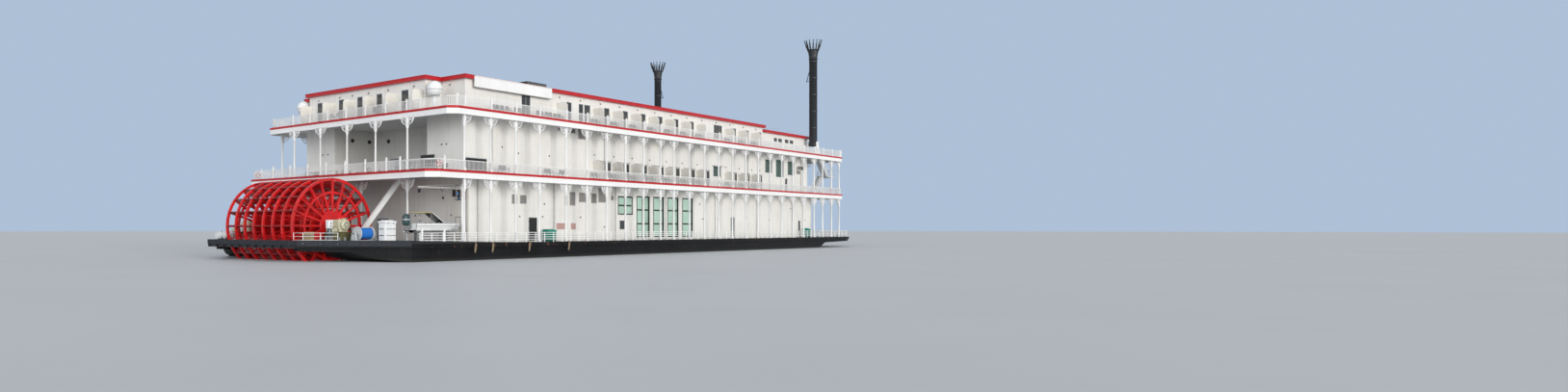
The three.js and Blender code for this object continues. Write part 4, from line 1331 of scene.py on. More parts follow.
def chimney_form():
    """A tall black stack about z, with bands, a flared collar and a crown of straight spikes."""
    form = Form("stack_black")
    radius = 0.063
    flare = CHIMNEY_TOP - 0.31
    rim = CHIMNEY_TOP - 0.15
    outline = [(0, CHIMNEY_FOOT), (radius - 0.003, CHIMNEY_FOOT), (radius - 0.001, CHIMNEY_FOOT + 0.004)]
    outline += [(radius - 0.001, flare), (radius + 0.008, flare + 0.004), (radius + 0.008, flare + 0.014),
                (
                    radius + 0.001, flare + 0.018
                ), (radius + 0.004, flare + 0.06), (radius + 0.021, rim - 0.004),
                (radius + 0.022, rim), (radius + 0.014, rim), (radius + 0.006, rim - 0.02), (
                    radius - 0.006, flare + 0.02
                ),
                (radius - 0.008, flare - 0.1), (0, flare - 0.1)]
    form.round(lathe(outline, 28))
    bands = 6
    for i in range(bands):
        z = CHIMNEY_FOOT + 0.03 + (flare - CHIMNEY_FOOT - 0.06) * i / (bands - 1)
        form.add(hoop(radius + 0.0022, radius - 0.003, z - 0.006, z + 0.006, 28))
    spike = Form("stack_black")
    foot, tip = np.array((0.082, 0, rim - 0.02)), np.array((0.134, 0, CHIMNEY_TOP - 0.0105))
    line = [foot + (tip - foot) * share for share in (0.0, 0.3, 0.5, 0.7, 1.0)]
    spike.round(sweep(line, [0.006, 0.0065, 0.0105, 0.0065, 0.0045], 8))
    spike.round(ball(0.0085, 10, 6), at=placing(tip))
    count = 14
    form.copies(spike, [turn(2 * math.pi * i / count, "Z") for i in range(count)])
    ring = [(x, y, rim + 0.012) for x, y in circle(0.093, count)]
    form.round(sweep(ring, 0.0025, 6, True))
    strut = [(radius - 0.004, 0, 2.8 + WATER + 0.045), (radius + 0.05, 0, 2.66 + WATER)]
    lean = turn(math.pi / 2, "Z")
    form.rod(strut[0], strut[1], 0.006, 8, at=lean)
    form.rod((radius - 0.004, 0, 2.68 + WATER), (radius + 0.046, 0, 2.67 + WATER), 0.004, 8, at=lean)
    hinge = pivot("starboard_chimney_fold").z
    form.rod((0, -0.08, hinge), (0, 0.08, hinge), 0.0098, 12, "bare_steel")
    form.box((-0.03, -0.062, hinge - 0.022), (0.03, 0.062, hinge + 0.03), 0.004)
    return form


class STEAMER_OT_chimneys(bpy.types.Operator):
    """Makes the two folding chimneys with their crowns"""

    bl_idname = "steamer.chimneys"
    bl_label = "Chimneys"

    def execute(self, context):
        form = chimney_form()
        for side, handed in (("starboard", 1), ("port", -1)):
            low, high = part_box(f"chimney_{side}")
            centre = (low + high) / 2
            place = placing((centre.x, centre.y, 0), (1, 0, 0), (0, handed, 0))
            made = Form().copies(form, [place])
            made.piece(f"stack_{side}", "black_paint", [f"chimney_{side}"], body=f"{side}_chimney")
        return {"FINISHED"}


# Roofs, signs and domes


class STEAMER_OT_roof(bpy.types.Operator):
    """Paints the roofs, runs the red edges round them and frames the bare sign boards"""

    bl_idname = "steamer.roof"
    bl_label = "Roof, signs and domes"

    def execute(self, context):
        repaint("roof_finish", "roof", "bridge_roof")
        form = Form("trim_red")
        low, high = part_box("roof")
        step = along(0.22) - 0.035
        rim = [
            (low.x, -1.035), (step, -1.035), (step, low.y), (high.x, low.y), (high.x, high.y),
            (step, high.y), (step, 1.035), (low.x, 1.035)
        ]
        edge = [(-0.012, -0.002), (0.003, -0.002), (0.0045, 0.002), (0.003, 0.006), (-0.012, 0.006)]
        form.add(moulding([(x, y, ROOF - 0.002) for x, y in rim], edge))
        drip = [(-0.006, -0.003), (0.002, -0.003), (0.002, 0.002), (-0.006, 0.002)]
        form.add(moulding([(x, y, ROOF - 0.033) for x, y in rim], drip))
        low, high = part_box("bridge_roof")
        rim = [(low.x, low.y), (high.x, low.y), (high.x, high.y), (low.x, high.y)]
        form.add(moulding([(x, y, BRIDGE_ROOF - 0.002) for x, y in rim], edge))
        form.piece("roof_edges", "red_paint")

        for side, handed in (("starboard", 1), ("port", -1)):
            low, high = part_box(f"sign_board_{side}")
            board = Form("trim_white")
            outer, inner = sorted((low.y, high.y), key=abs, reverse=True)
            thick = abs(outer - inner)
            width, tall = high.x - low.x, high.z - low.z
            at = placing((low.x, inner, low.z), (1, 0, 0), (0, 0, 1), (0, -handed, 0))
            board.box((0.006, 0.006, 0), (width - 0.006, tall - 0.006, thick - 0.005), 0.001, at=at)
            for a, b in (
                ((0, 0), (width, 0.008)), ((0, tall - 0.008), (width, tall)), ((0, 0), (0.008, tall)),
                ((width - 0.008, 0), (width, tall))
            ):
                finish = "louvre_grey" if a == (0, 0) and b[1] < 0.01 else "trim_white"
                board.box((*a, 0), (*b, thick), 0.0015, finish, at)
            for i in range(9):
                u = 0.07 + (width - 0.14) * i / 8
                board.box((u - 0.003, 0.008, thick - 0.005), (u + 0.003, tall - 0.008, thick - 0.003), at=at)
            board.piece(f"name_board_{side}", "white_paint", [f"sign_board_{side}"])
        return {"FINISHED"}


class STEAMER_OT_domes(bpy.types.Operator):
    """Makes the two white domes on their pedestals"""

    bl_idname = "steamer.domes"
    bl_label = "Domes"

    def execute(self, context):
        for side in ("starboard", "port"):
            low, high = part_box(f"antenna_dome_{side}")
            centre = (low + high) / 2
            radius = (high.x - low.x) / 2
            middle = high.z - radius
            form = Form("moulded_white")
            at = placing((centre.x, centre.y, 0))
            outline = [
                (0, middle - radius * 0.86), (radius * 0.62, middle - radius * 0.84),
                (radius * 0.8, middle - radius * 0.6), (radius * 0.94, middle - radius * 0.32),
                (radius * 0.995, middle - 0.012)
            ]
            form.round(lathe(outline + [(0, middle - 0.012)], 32), at=at)
            form.add(lathe(
                [
                    (0, middle - 0.014), (radius, middle - 0.014), (radius, middle - 0.008),
                    (0, middle - 0.008)
                ],
                32
            ), "louvre_grey", at)
            cap = [(0, middle - 0.01), (radius * 0.99, middle - 0.01)]
            cap += [(
                radius * 0.99 * math.cos(t), middle + radius * 0.99 * math.sin(t)
            ) for t in np.linspace(0.05, 1.45, 9)]
            form.round(lathe(cap + [(0, high.z)], 32), at=at)
            base = low.z
            post = [
                (0, base), (0.036, base), (0.036, base + 0.006), (0.019, base + 0.012),
                (0.018, middle - radius * 0.95), (0.034, middle - radius * 0.86), (0, middle - radius * 0.86)
            ]
            form.add(lathe(post, 20), "trim_white", at)
            for i in range(6):
                angle = math.pi * i / 3
                place = (centre.x + 0.029 * math.cos(angle), centre.y + 0.029 * math.sin(angle))
                form.bolt((*place, base + 0.004), (*place, base + 0.011), 0.003)
            form.piece(f"dome_{side}", "moulded_white", [f"antenna_dome_{side}"])
        return {"FINISHED"}


class STEAMER_OT_hull(bpy.types.Operator):
    """Paints the hull and sets the pipe rails and gate posts of the arms beside the wheel"""

    bl_idname = "steamer.hull"
    bl_label = "Hull and stern"

    def execute(self, context):
        repaint("hull_black", "hull")
        form = Form("trim_white")
        posts = [(along(x), y) for x, y in ((-1.335, -0.68), (-1.3, -0.78), (-1.2, -0.911), (-1.102, -1.041))]
        for height in (0.035, 0.068, 0.1):
            form.round(sweep([(x, y, DECK1 + height) for x, y in posts], 0.002, 8))
        for x, y in posts:
            form.rod((x, y, DECK1), (x, y, DECK1 + 0.103), 0.003, 8)
            form.box((x - 0.007, y - 0.007, DECK1), (x + 0.007, y + 0.007, DECK1 + 0.003), 0.001)
        for x in (-0.56, -0.28):
            form.box((along(x) - 0.008, -1.594, DECK1), (along(x) + 0.008, -1.578, DECK1 + 0.14), 0.0015)
            form.box(
                (along(x) - 0.01, -1.596, DECK1 + 0.14), (along(x) + 0.01, -1.576, DECK1 + 0.145), 0.0015
            )
        form.mirrored().piece("stern_rails", "white_paint")

        form = Form("trim_white")
        end, corner = (along(-1.338), -0.73), (along(-0.69), -HALF_BEAM + 0.005)
        plank = [(-0.005, -0.022), (0.004, -0.022), (0.004, 0.032), (-0.005, 0.032)]
        form.add(moulding([(*end, DECK1), (*corner, DECK1)], plank, False), "slate_blue")
        toe = [
            (along(x), DECK1 + up) for x,
            up in ((-0.69, -0.003), (0.8, -0.003), (0.8, 0.0), (-0.4, 0.022), (-0.69, 0.031))
        ]
        form.add(prism(toe, -HALF_BEAM + 0.0005, -HALF_BEAM + 0.005, "y"), "stack_black")
        form.mirrored().piece("stern_coaming", "black_paint")

        low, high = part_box("stern_beam")
        form = Form("trim_white")
        form.box((low.x, low.y, high.z - 0.048), (high.x, high.y, high.z), 0.003, "slate_blue")
        form.box(
            (low.x + 0.02, low.y + 0.004, low.z), (high.x, high.y - 0.004, high.z - 0.045), 0, "stack_black"
        )
        for i in range(11):
            y = low.y + 0.01 + (high.y - low.y - 0.02) * i / 10
            form.box((low.x + 0.004, y - 0.003, low.z), (high.x, y + 0.003, high.z - 0.046), 0, "stack_black")
            form.bolt((low.x, y, high.z - 0.02), (low.x + 0.004, y, high.z - 0.02), 0.0035)
        form.piece("wheel_beam", "black_paint", ["stern_beam"])
        return {"FINISHED"}


# Deck gear


BOLT_RADIUS = 0.0022


def ring_of_bolts(form, centre, radius, count, axis="z", out=0.003):
    """Hexagon heads on a circle about a centre, standing out along an axis."""
    first, second, third = AXES[axis]
    for u, v in circle(radius, count, phase=0.3):
        low = list(centre)
        low[first] += u
        low[second] += v
        high = list(low)
        low[third] -= out * 0.3
        high[third] += out
        form.bolt(low, high, BOLT_RADIUS)


REEL_AT = pivot("reel_turn")


def reel_form():
    """The hose drum about x: ribbed flanges, the hose in close turns and its nozzle tucked in."""
    form = Form("pale_grey")
    core, outer, half = 0.042, 0.066, 0.07
    turns, thick = 14, 0.0098
    outline = [(0, -half), (core, -half)]
    for i in range(turns):
        middle = -half + half * 2 * (i + 0.5) / turns
        for step in (-0.8, -0.4, 0.0, 0.4, 0.8):
            outline.append((core + thick * math.cos(step * 1.5), middle + half / turns * step * 1.1))
    outline += [(core, half), (0, half)]
    form.round(lathe(outline, 40), "hose_blue", along_x((0, 0, 0)))
    for side in (-1, 1):
        inner, face = side * half, side * (half + 0.01)
        low, high = sorted((inner, face))
        form.add(hoop(outer, outer - 0.01, low, high, 40, "x"))
        middle = (low + high) / 2
        form.add(hoop(outer - 0.008, 0.02, middle - 0.0015, middle + 0.0015, 40, "x"))
        form.add(hoop(0.028, 0.0105, low, high, 24, "x"))
        rib = block((low + 0.001, 0.024, -0.003), (high - 0.001, outer - 0.008, 0.003), 0.001)
        for i in range(6):
            form.add(rib, at=turn(math.pi * i / 3, "X"))
        ring_of_bolts(form, (face, 0, 0), 0.021, 6, "x", side * 0.0025)
    form.rod((-0.12, 0, 0), (0.12, 0, 0), 0.0098, 20, "bare_steel")
    nozzle = [(0, -0.02), (0.005, -0.02), (0.006, -0.004), (0.0045, 0.0), (0.003, 0.018), (0, 0.018)]
    form.add(
        lathe(nozzle, 12), "machine_cream",
        placing((0.03, 0.0, core + 0.0145), (0, 1, 0), (0, 0, 1), (1, 0, 0))
    )
    return form


def reel_stand_form():
    """Two bearing plates on a base, tied by rods."""
    form = Form("pale_grey")
    low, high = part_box("hose_reel_stand")
    centre_y = REEL_AT.y
    top = high.z
    base = low.z
    for a, b in ((low.x, low.x + 0.014), (high.x - 0.014, high.x)):
        side = [(centre_y - 0.05, base), (centre_y + 0.05, base), (centre_y + 0.026, top - 0.012),
                (centre_y + 0.018, top), (centre_y - 0.018, top), (centre_y - 0.026, top - 0.012)]
        form.add(prism(side, a, b, "x"))
        for face, way in ((a, -1), (b, 1)):
            inside = abs(face - REEL_AT.x) < 0.11
            if not inside:
                ring_of_bolts(form, (face, centre_y, REEL_AT.z - 0.004), 0.014, 4, "x", way * 0.0022)
        form.box((a - 0.002, centre_y - 0.062, base), (b + 0.002, centre_y + 0.062, base + 0.006), 0.0015)
    for y in (centre_y - 0.042, centre_y + 0.042):
        form.rod((low.x + 0.01, y, base + 0.03), (high.x - 0.01, y, base + 0.03), 0.0035, 10)
    return form


def wheel_drive_form():
    """The drive on the starboard arm: skid, gear case with its flanged joint, finned motor and guard."""
    form = Form("olive")
    low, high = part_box("wheel_drive_starboard")
    skid_top = DECK1 + 0.11
    for y in (low.y + 0.012, -0.79):
        form.box((low.x, y - 0.01, low.z), (high.x, y + 0.01, low.z + 0.006), 0.001)
        form.box((low.x + 0.002, y - 0.003, low.z + 0.005), (high.x - 0.002, y + 0.003, skid_top - 0.006))
        form.box((low.x, y - 0.01, skid_top - 0.007), (high.x, y + 0.01, skid_top - 0.001), 0.001)
        for i in range(7):
            x = low.x + 0.02 + (high.x - low.x - 0.04) * i / 6
            form.box((x - 0.0015, y - 0.009, low.z + 0.006), (x + 0.0015, y + 0.009, skid_top - 0.006))
    form.box((low.x + 0.004, low.y + 0.006, low.z + 0.03), (high.x - 0.004, -0.785, low.z + 0.07), 0.002)
    x0, x1 = along(-0.96), along(-0.85)
    y0, y1 = -0.87, -0.727
    rings = [oval((x1 - x0) / 2, (y1 - y0) / 2, skid_top, ((x0 + x1) / 2, (y0 + y1) / 2), 20, 6.0)]
    for share, size in ((0.45, 1.0), (0.47, 1.06), (0.53, 1.06), (0.55, 1.0), (0.92, 1.0), (1.0, 0.86)):
        height = skid_top + (high.z - skid_top) * share
        rings.append(oval(
            (x1 - x0) / 2 * size, (y1 - y0) / 2 * min(size, 1.0), height, ((x0 + x1) / 2, (y0 + y1) / 2), 20,
            6.0
        ))
    form.add(loft(rings), "machine_cream")
    joint = skid_top + (high.z - skid_top) * 0.53
    for i in range(6):
        y = y0 + 0.012 + (y1 - y0 - 0.024) * i / 5
        for x in (x0 - 0.001, x1 + 0.001):
            form.bolt((x, y, joint - 0.012), (x, y, joint + 0.003), 0.0018)
    motor = Vector((along(-0.9), 0, DECK1 + 0.176))
    radius = 0.05
    fins = [(0, -0.9), (radius * 0.55, -0.9), (radius * 0.9, -0.893), (radius, -0.888)]
    for i in range(9):
        start = -0.886 + 0.004 * i
        fins += [
            (radius, start), (radius * 0.93, start + 0.0008), (radius * 0.93, start + 0.0028),
            (radius, start + 0.0035)
        ]
    fins += [(radius * 0.9, -0.845), (radius * 0.9, -0.84), (0, -0.84)]
    form.add(lathe([(r, y) for r, y in fins], 32), "machine_cream", along_y((motor.x, 0, motor.z)))
    ring_of_bolts(form, (motor.x, -0.9, motor.z), radius * 0.72, 6, "y", -0.0025)
    form.add(hoop(radius * 0.5, radius * 0.36, -0.9035, -0.899, 20, "y", (motor.x, motor.z)), "gear_grey")
    form.box(
        (motor.x - 0.03, -0.888, motor.z + 0.042), (motor.x + 0.002, -0.856, motor.z + 0.062), 0.002,
        "machine_cream"
    )
    hose = [(motor.x + 0.045, -0.86, motor.z + 0.01), (along(-0.83), -0.868, motor.z - 0.02),
            (along(-0.822), -0.87, DECK1 + 0.11), (along(-0.84), -0.872, DECK1 + 0.075)]
    form.round(sweep(hose, 0.004, 8), "black_metal")
    lever = [(along(-1.03), -0.88, skid_top), (along(-1.03), -0.88, skid_top + 0.05)]
    form.round(tube(*lever, 0.003, 8), "bare_steel")
    form.box((along(-1.06), -0.895, skid_top), (along(-1.0), -0.8, skid_top + 0.035), 0.003, "machine_cream")
    return form


def power_pack_form():
    """A tall hydraulic set on the starboard arm: a case over a tank, with gauges and pipes."""
    form = Form(
        "moulded_white", placing((along(-1.105), -0.915, DECK1)) @ Matrix.Diagonal((1.0, 1.0, 1.27, 1.0))
    )
    form.box((-0.026, -0.028, 0.004), (0.026, 0.028, 0.06), 0.004, "gear_grey")
    form.box((-0.029, -0.031, 0), (0.029, 0.031, 0.006), 0.001, "olive")
    form.round(
        lathe([(0, 0.06), (0.021, 0.06), (0.022, 0.064), (0.022, 0.1), (0.018, 0.108), (0, 0.11)], 20),
        "motor_teal"
    )
    form.box((-0.024, -0.024, 0.112), (0.024, 0.024, 0.168), 0.004)
    form.box((-0.026, -0.026, 0.165), (0.026, 0.026, 0.174), 0.003)
    for z in (0.128, 0.15):
        form.add(hoop(0.0075, 0.0045, -0.0265, -0.0235, 12, "y", (0.0, z)), "black_metal")
    for x in (-0.018, 0.018):
        pipe = [(x, -0.027, 0.055), (x, -0.034, 0.075), (x, -0.034, 0.1), (x, -0.025, 0.118)]
        form.round(sweep(pipe, 0.0026, 8), "bare_steel")
    return form


def bearing_form():
    """The stand that carries the wheel's shaft: legs, a ribbed web and a bolted cap."""
    form = Form("slate_blue")
    low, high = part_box("wheel_bearing_starboard")
    y0, y1 = low.y, high.y
    x, z = WHEEL_AT.x, WHEEL_AT.z
    form.add(hoop(0.06, 0.0325, y0 + 0.002, y1 - 0.002, 28, "y", (x, z)))
    form.add(hoop(0.05, 0.0325, y0, y0 + 0.004, 28, "y", (x, z)), "bare_steel")
    for way, foot in ((-1, low.x), (1, high.x)):
        leg = [
            (foot, low.z), (foot - way * 0.045, low.z), (x + way * 0.028, z - 0.026),
            (x + way * 0.052, z + 0.004)
        ]
        form.add(prism(leg, y0 + 0.006, y1 - 0.006, "y"))
        for y in (y0 + 0.002, y1 - 0.008):
            flange = [
                (foot, low.z), (foot - way * 0.012, low.z), (x + way * 0.048, z - 0.006),
                (x + way * 0.056, z + 0.004)
            ]
            form.add(prism(flange, y, y + 0.006, "y"))
        for share in (0.3, 0.62):
            px = foot + (x + way * 0.04 - foot) * share
            pz = low.z + (z - low.z) * share
            form.box((px - 0.002, y0 + 0.003, pz - 0.02), (px + 0.002, y1 - 0.003, pz + 0.002))
        form.box((x + way * 0.05, y0 + 0.008, z - 0.012), (x + way * 0.072, y1 - 0.008, z + 0.004), 0.001)
        form.box((x + way * 0.05, y0 + 0.008, z + 0.005), (x + way * 0.072, y1 - 0.008, z + 0.016), 0.002)
        form.bolt((x + way * 0.063, -0.69, z - 0.014), (x + way * 0.063, -0.69, z + 0.024), 0.0035)
    form.box((low.x, y0, low.z), (high.x, y1, low.z + 0.008), 0.0015)
    form.box((x - 0.06, y0 + 0.02, low.z + 0.006), (x + 0.06, y1 - 0.02, z - 0.05), 0.001)
    form.add(tube((x, -0.69, z + 0.058), (x, -0.69, z + 0.072), 0.005, 12), "machine_cream")
    return form


def brace_plates_form():
    """Foot and head plates of the long brace between an arm and the second deck."""
    form = Form("trim_white")
    low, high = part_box("wheel_brace_starboard")
    y0, y1 = low.y - 0.004, high.y + 0.004
    form.box((low.x - 0.012, y0 - 0.01, low.z), (low.x + 0.085, y1 + 0.01, low.z + 0.006), 0.0015)
    gusset = [
        (low.x - 0.008, low.z + 0.004), (low.x + 0.08, low.z + 0.004), (low.x + 0.12, low.z + 0.07),
        (low.x + 0.06, low.z + 0.05)
    ]
    for y in (y0, y1 - 0.003):
        form.add(prism(gusset, y, y + 0.003, "y"))
    head = [
        (high.x - 0.13, high.z - 0.085), (high.x - 0.02, high.z - 0.03), (high.x, high.z - 0.001),
        (high.x - 0.085, high.z - 0.001)
    ]
    for y in (y0, y1 - 0.003):
        form.add(prism(head, y, y + 0.003, "y"))
    for i in range(4):
        share = i / 3
        x = low.x + 0.02 + 0.05 * share
        z = low.z + 0.018 + 0.03 * share
        for y, way in ((y0, -1), (y1, 1)):
            form.bolt((x, y, z), (x, y + way * 0.002, z), 0.0025)
    return form


TENDER_FLOOR = DECK1 + 0.0996
TENDER_LINE = (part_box("tender")[0].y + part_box("tender")[1].y) / 2


def tender_form():
    """A small hard-bottomed boat on its cradle, with benches, a console, a screen and a roof on posts."""
    form = Form("moulded_white")
    stern, middle, floor = along(-0.495), TENDER_LINE, TENDER_FLOOR
    stations = (
        {"x": 0.0, "gunwale": 0.093, "chine": 0.08, "keel": 0.0, "bilge": 0.022, "sheer": 0.09},
        {"x": 0.4, "gunwale": 0.097, "chine": 0.08, "keel": 0.0, "bilge": 0.024, "sheer": 0.09},
        {"x": 0.5, "gunwale": 0.083, "chine": 0.06, "keel": 0.004, "bilge": 0.034, "sheer": 0.092},
        {"x": 0.57, "gunwale": 0.055, "chine": 0.034, "keel": 0.014, "bilge": 0.048, "sheer": 0.094},
        {"x": 0.615, "gunwale": 0.026, "chine": 0.014, "keel": 0.034, "bilge": 0.062, "sheer": 0.095},
        {"x": 0.636, "gunwale": 0.004, "chine": 0.003, "keel": 0.07, "bilge": 0.08, "sheer": 0.095},
    )
    rings, rim = [], []
    for row in stations:
        x = stern + row["x"]
        outer = [(row["gunwale"], row["sheer"]), (row["gunwale"] * 0.97, (row["sheer"] + row["bilge"]) / 2),
                 (row["chine"], row["bilge"]), (0.0, row["keel"])]
        wall = min(0.006, row["gunwale"] * 0.5)
        inner = [
            (row["gunwale"] - wall, row["sheer"]), (max(row["chine"] - wall, 0.001), row["bilge"] + 0.006),
            (0.0, row["bilge"] + 0.004)
        ]
        left = [(-y, z) for y, z in outer]
        right = [(y, z) for y, z in reversed(outer[:-1])]
        back = [(y, z) for y, z in inner] + [(-y, z) for y, z in reversed(inner[:-1])]
        rings.append([(x, middle + y, floor + z) for y, z in left + right + back])
        rim.append((x, row["gunwale"], floor + row["sheer"]))
    form.add(loft(rings))
    transom = [(-0.093, 0.09), (-0.08, 0.022), (0.0, 0.0), (0.08, 0.022), (0.093, 0.09)]
    form.add(prism([(middle + y, floor + z) for y, z in transom], stern, stern + 0.008, "x"))
    line = [(x, middle - y, z) for x, y, z in rim] + [(x, middle + y, z) for x, y, z in reversed(rim[:-1])]
    form.round(sweep(line, 0.003, 8), "pale_grey")
    form.round(sweep([(x, y, z - 0.024) for x, y, z in line], 0.0022, 6), "gear_grey")
    form.base = placing((stern, middle, floor))
    for x in (0.05, 0.44):
        form.box((x, -0.086, 0.05), (x + 0.035, 0.086, 0.058), 0.002, "pale_grey")
        form.box((x + 0.004, -0.06, 0.02), (x + 0.03, 0.06, 0.051), 0, "pale_grey")
    form.box((0.285, -0.035, 0.02), (0.325, 0.035, 0.088), 0.005)
    wheel = [
        (0.013 * math.cos(t), 0.013 * math.sin(t), 0) for t in np.linspace(0, 2 * math.pi, 16, endpoint=False)
    ]
    tilt = placing((0.275, 0, 0.094), (0, 1, 0), (0.5, 0, 0.86), (0.86, 0, -0.5))
    form.round(sweep(wheel, 0.0018, 6, True), "black_metal", tilt)
    for x in (0.215, 0.36):
        for y in (-0.045, 0.015):
            form.box((x, y, 0.02), (x + 0.028, y + 0.03, 0.056), 0.003, "chair_grey")
            form.box((x - 0.004, y, 0.05), (x + 0.003, y + 0.03, 0.098), 0.002, "chair_grey")
    roof = 0.188
    for x in (0.05, 0.19):
        for y in (-0.07, 0.07):
            form.rod((x, y, 0.088), (x, y * 0.97, roof), 0.0026, 8, "bare_steel")
    shape = ((0.1, 0.08, 0.0), (0.104, 0.084, 0.003), (0.1, 0.08, 0.009), (0.06, 0.05, 0.013))
    top = [oval(a, b, roof + z, (0.12, 0), 20, 5.0) for a, b, z in shape]
    form.add(loft(top), "canvas_tan")
    shield = [(0.22, roof + 0.002), (0.22, roof + 0.008), (0.37, 0.102), (0.37, 0.096)]
    for y in (-0.064, 0.06):
        form.add(prism(shield, y, y + 0.004, "y"))
    form.add(prism(shield, -0.06, 0.06, "y"), "dark_glass")
    # Three grey boards under the boat's starboard side are painted shade under the boat, seen between the
    # rail's bars.
    for i in range(3):
        z = -0.09 + 0.027 * i
        form.box((0.02, -0.062, z), (0.5, -0.058, z + 0.018), 0.001, "gear_grey")
    # The cradle's dark grey is partly its paint and partly painted shade under the boat.
    for x in (0.09, 0.41):
        for y in (-1, 1):
            leg = [(y * 0.055, -0.0996), (y * 0.047, -0.0996), (y * 0.035, 0.006), (y * 0.055, 0.014)]
            form.add(prism(leg, x, x + 0.022, "x"), "gear_grey")
            strap = (x + 0.011, y * 0.052, 0.012), (x + 0.011, y * 0.098, 0.088)
            form.round(tube(*strap, 0.0014, 6), "rope")
        form.box((x, -0.065, -0.0996), (x + 0.022, 0.065, -0.092), 0.001, "gear_grey")
    return form


def outboard_form():
    """The tender's motor: a domed cowl, its leg, anti-splash plate, skeg and three-bladed screw."""
    low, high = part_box("outboard_motor")
    form = Form("gear_grey", placing((low.x, TENDER_LINE, TENDER_FLOOR)))
    cowl = (
        (0.026, 0.022, 0.072), (0.033, 0.03, 0.082), (0.035, 0.034, 0.12), (0.034, 0.032, 0.15),
        (0.028, 0.026, 0.168), (0.016, 0.014, 0.178), (0.003, 0.003, 0.18)
    )
    form.round(loft([oval(a, b, z, (0.035, 0), 24, 3.0) for a, b, z in cowl]), "motor_teal")
    form.add(loft([oval(0.0352, 0.0342, z, (0.035, 0), 24, 3.0) for z in (0.122, 0.13)]), "pale_grey")
    leg = ((0.018, 0.014, 0.074), (0.016, 0.011, 0.05), (0.012, 0.008, 0.03), (0.011, 0.006, 0.01))
    form.round(loft([oval(a, b, z, (0.055, 0), 16, 2.4) for a, b, z in reversed(leg)]))
    form.box((0.01, -0.016, 0.026), (0.08, 0.016, 0.029), 0.001)
    pod = [(0, -0.03), (0.005, -0.022), (0.0075, -0.005), (0.0065, 0.012), (0.002, 0.024), (0, 0.025)]
    form.round(lathe(pod, 14), at=along_x((0.052, 0, 0.012)))
    skeg = [(0.045, 0.006), (0.067, 0.006), (0.057, -0.01), (0.049, -0.01)]
    form.add(prism(skeg, -0.0015, 0.0015, "y"))
    blade = [(0.004, -0.004), (0.016, -0.008), (0.02, 0.0), (0.016, 0.006), (0.004, 0.003)]
    for i in range(3):
        place = placing((0.024, 0, 0.012)) @ turn(2 * math.pi * i / 3, "X") @ turn(0.5, "Z")
        form.add(prism(blade, -0.0008, 0.0008, "x"), "bare_steel", place)
    form.box((0.062, -0.017, 0.05), (high.x - low.x, 0.017, 0.1), 0.002)
    return form


CRANE_AT = pivot("crane_slew")


def crane_post_form():
    """The boat crane's post: a bolted foot with gussets, the column, the boom's pin and a pipe beside it."""
    form = Form("trim_white")
    low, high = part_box("crane_post")
    at = placing((CRANE_AT.x, CRANE_AT.y, low.z))
    shoulder, tall = CRANE_AT.z - 0.026 - low.z, high.z - low.z
    column = [
        (0, 0), (0.028, 0), (0.028, 0.006), (0.0145, 0.009), (0.0138, 0.02), (0.0138, shoulder - 0.012),
        (0.0155, shoulder - 0.008), (0.0155, shoulder - 0.001), (0.0099, shoulder), (0.0098, tall - 0.004),
        (0.006, tall), (0, tall)
    ]
    form.add(lathe(column, 28), at=at)
    ring_of_bolts(form, (CRANE_AT.x, CRANE_AT.y, low.z + 0.006), 0.023, 8, "z", 0.003)
    gusset = block((0.012, -0.0015, 0.006), (0.025, 0.0015, 0.028), 0.0008)
    for i in range(4):
        form.add(gusset, at=at @ turn(math.pi / 2 * i + math.pi / 4, "Z"))
    pipe = [(0.03, 0.012, 0.0), (0.03, 0.012, 0.43), (0.024, 0.009, 0.445), (0.008, 0.003, 0.45)]
    form.round(sweep(pipe, 0.004, 8), at=at)
    for z in (0.12, 0.28, 0.42):
        form.add(tube((0.012, 0.005, z), (0.029, 0.0115, z), 0.0026, 6), at=at)
    return form


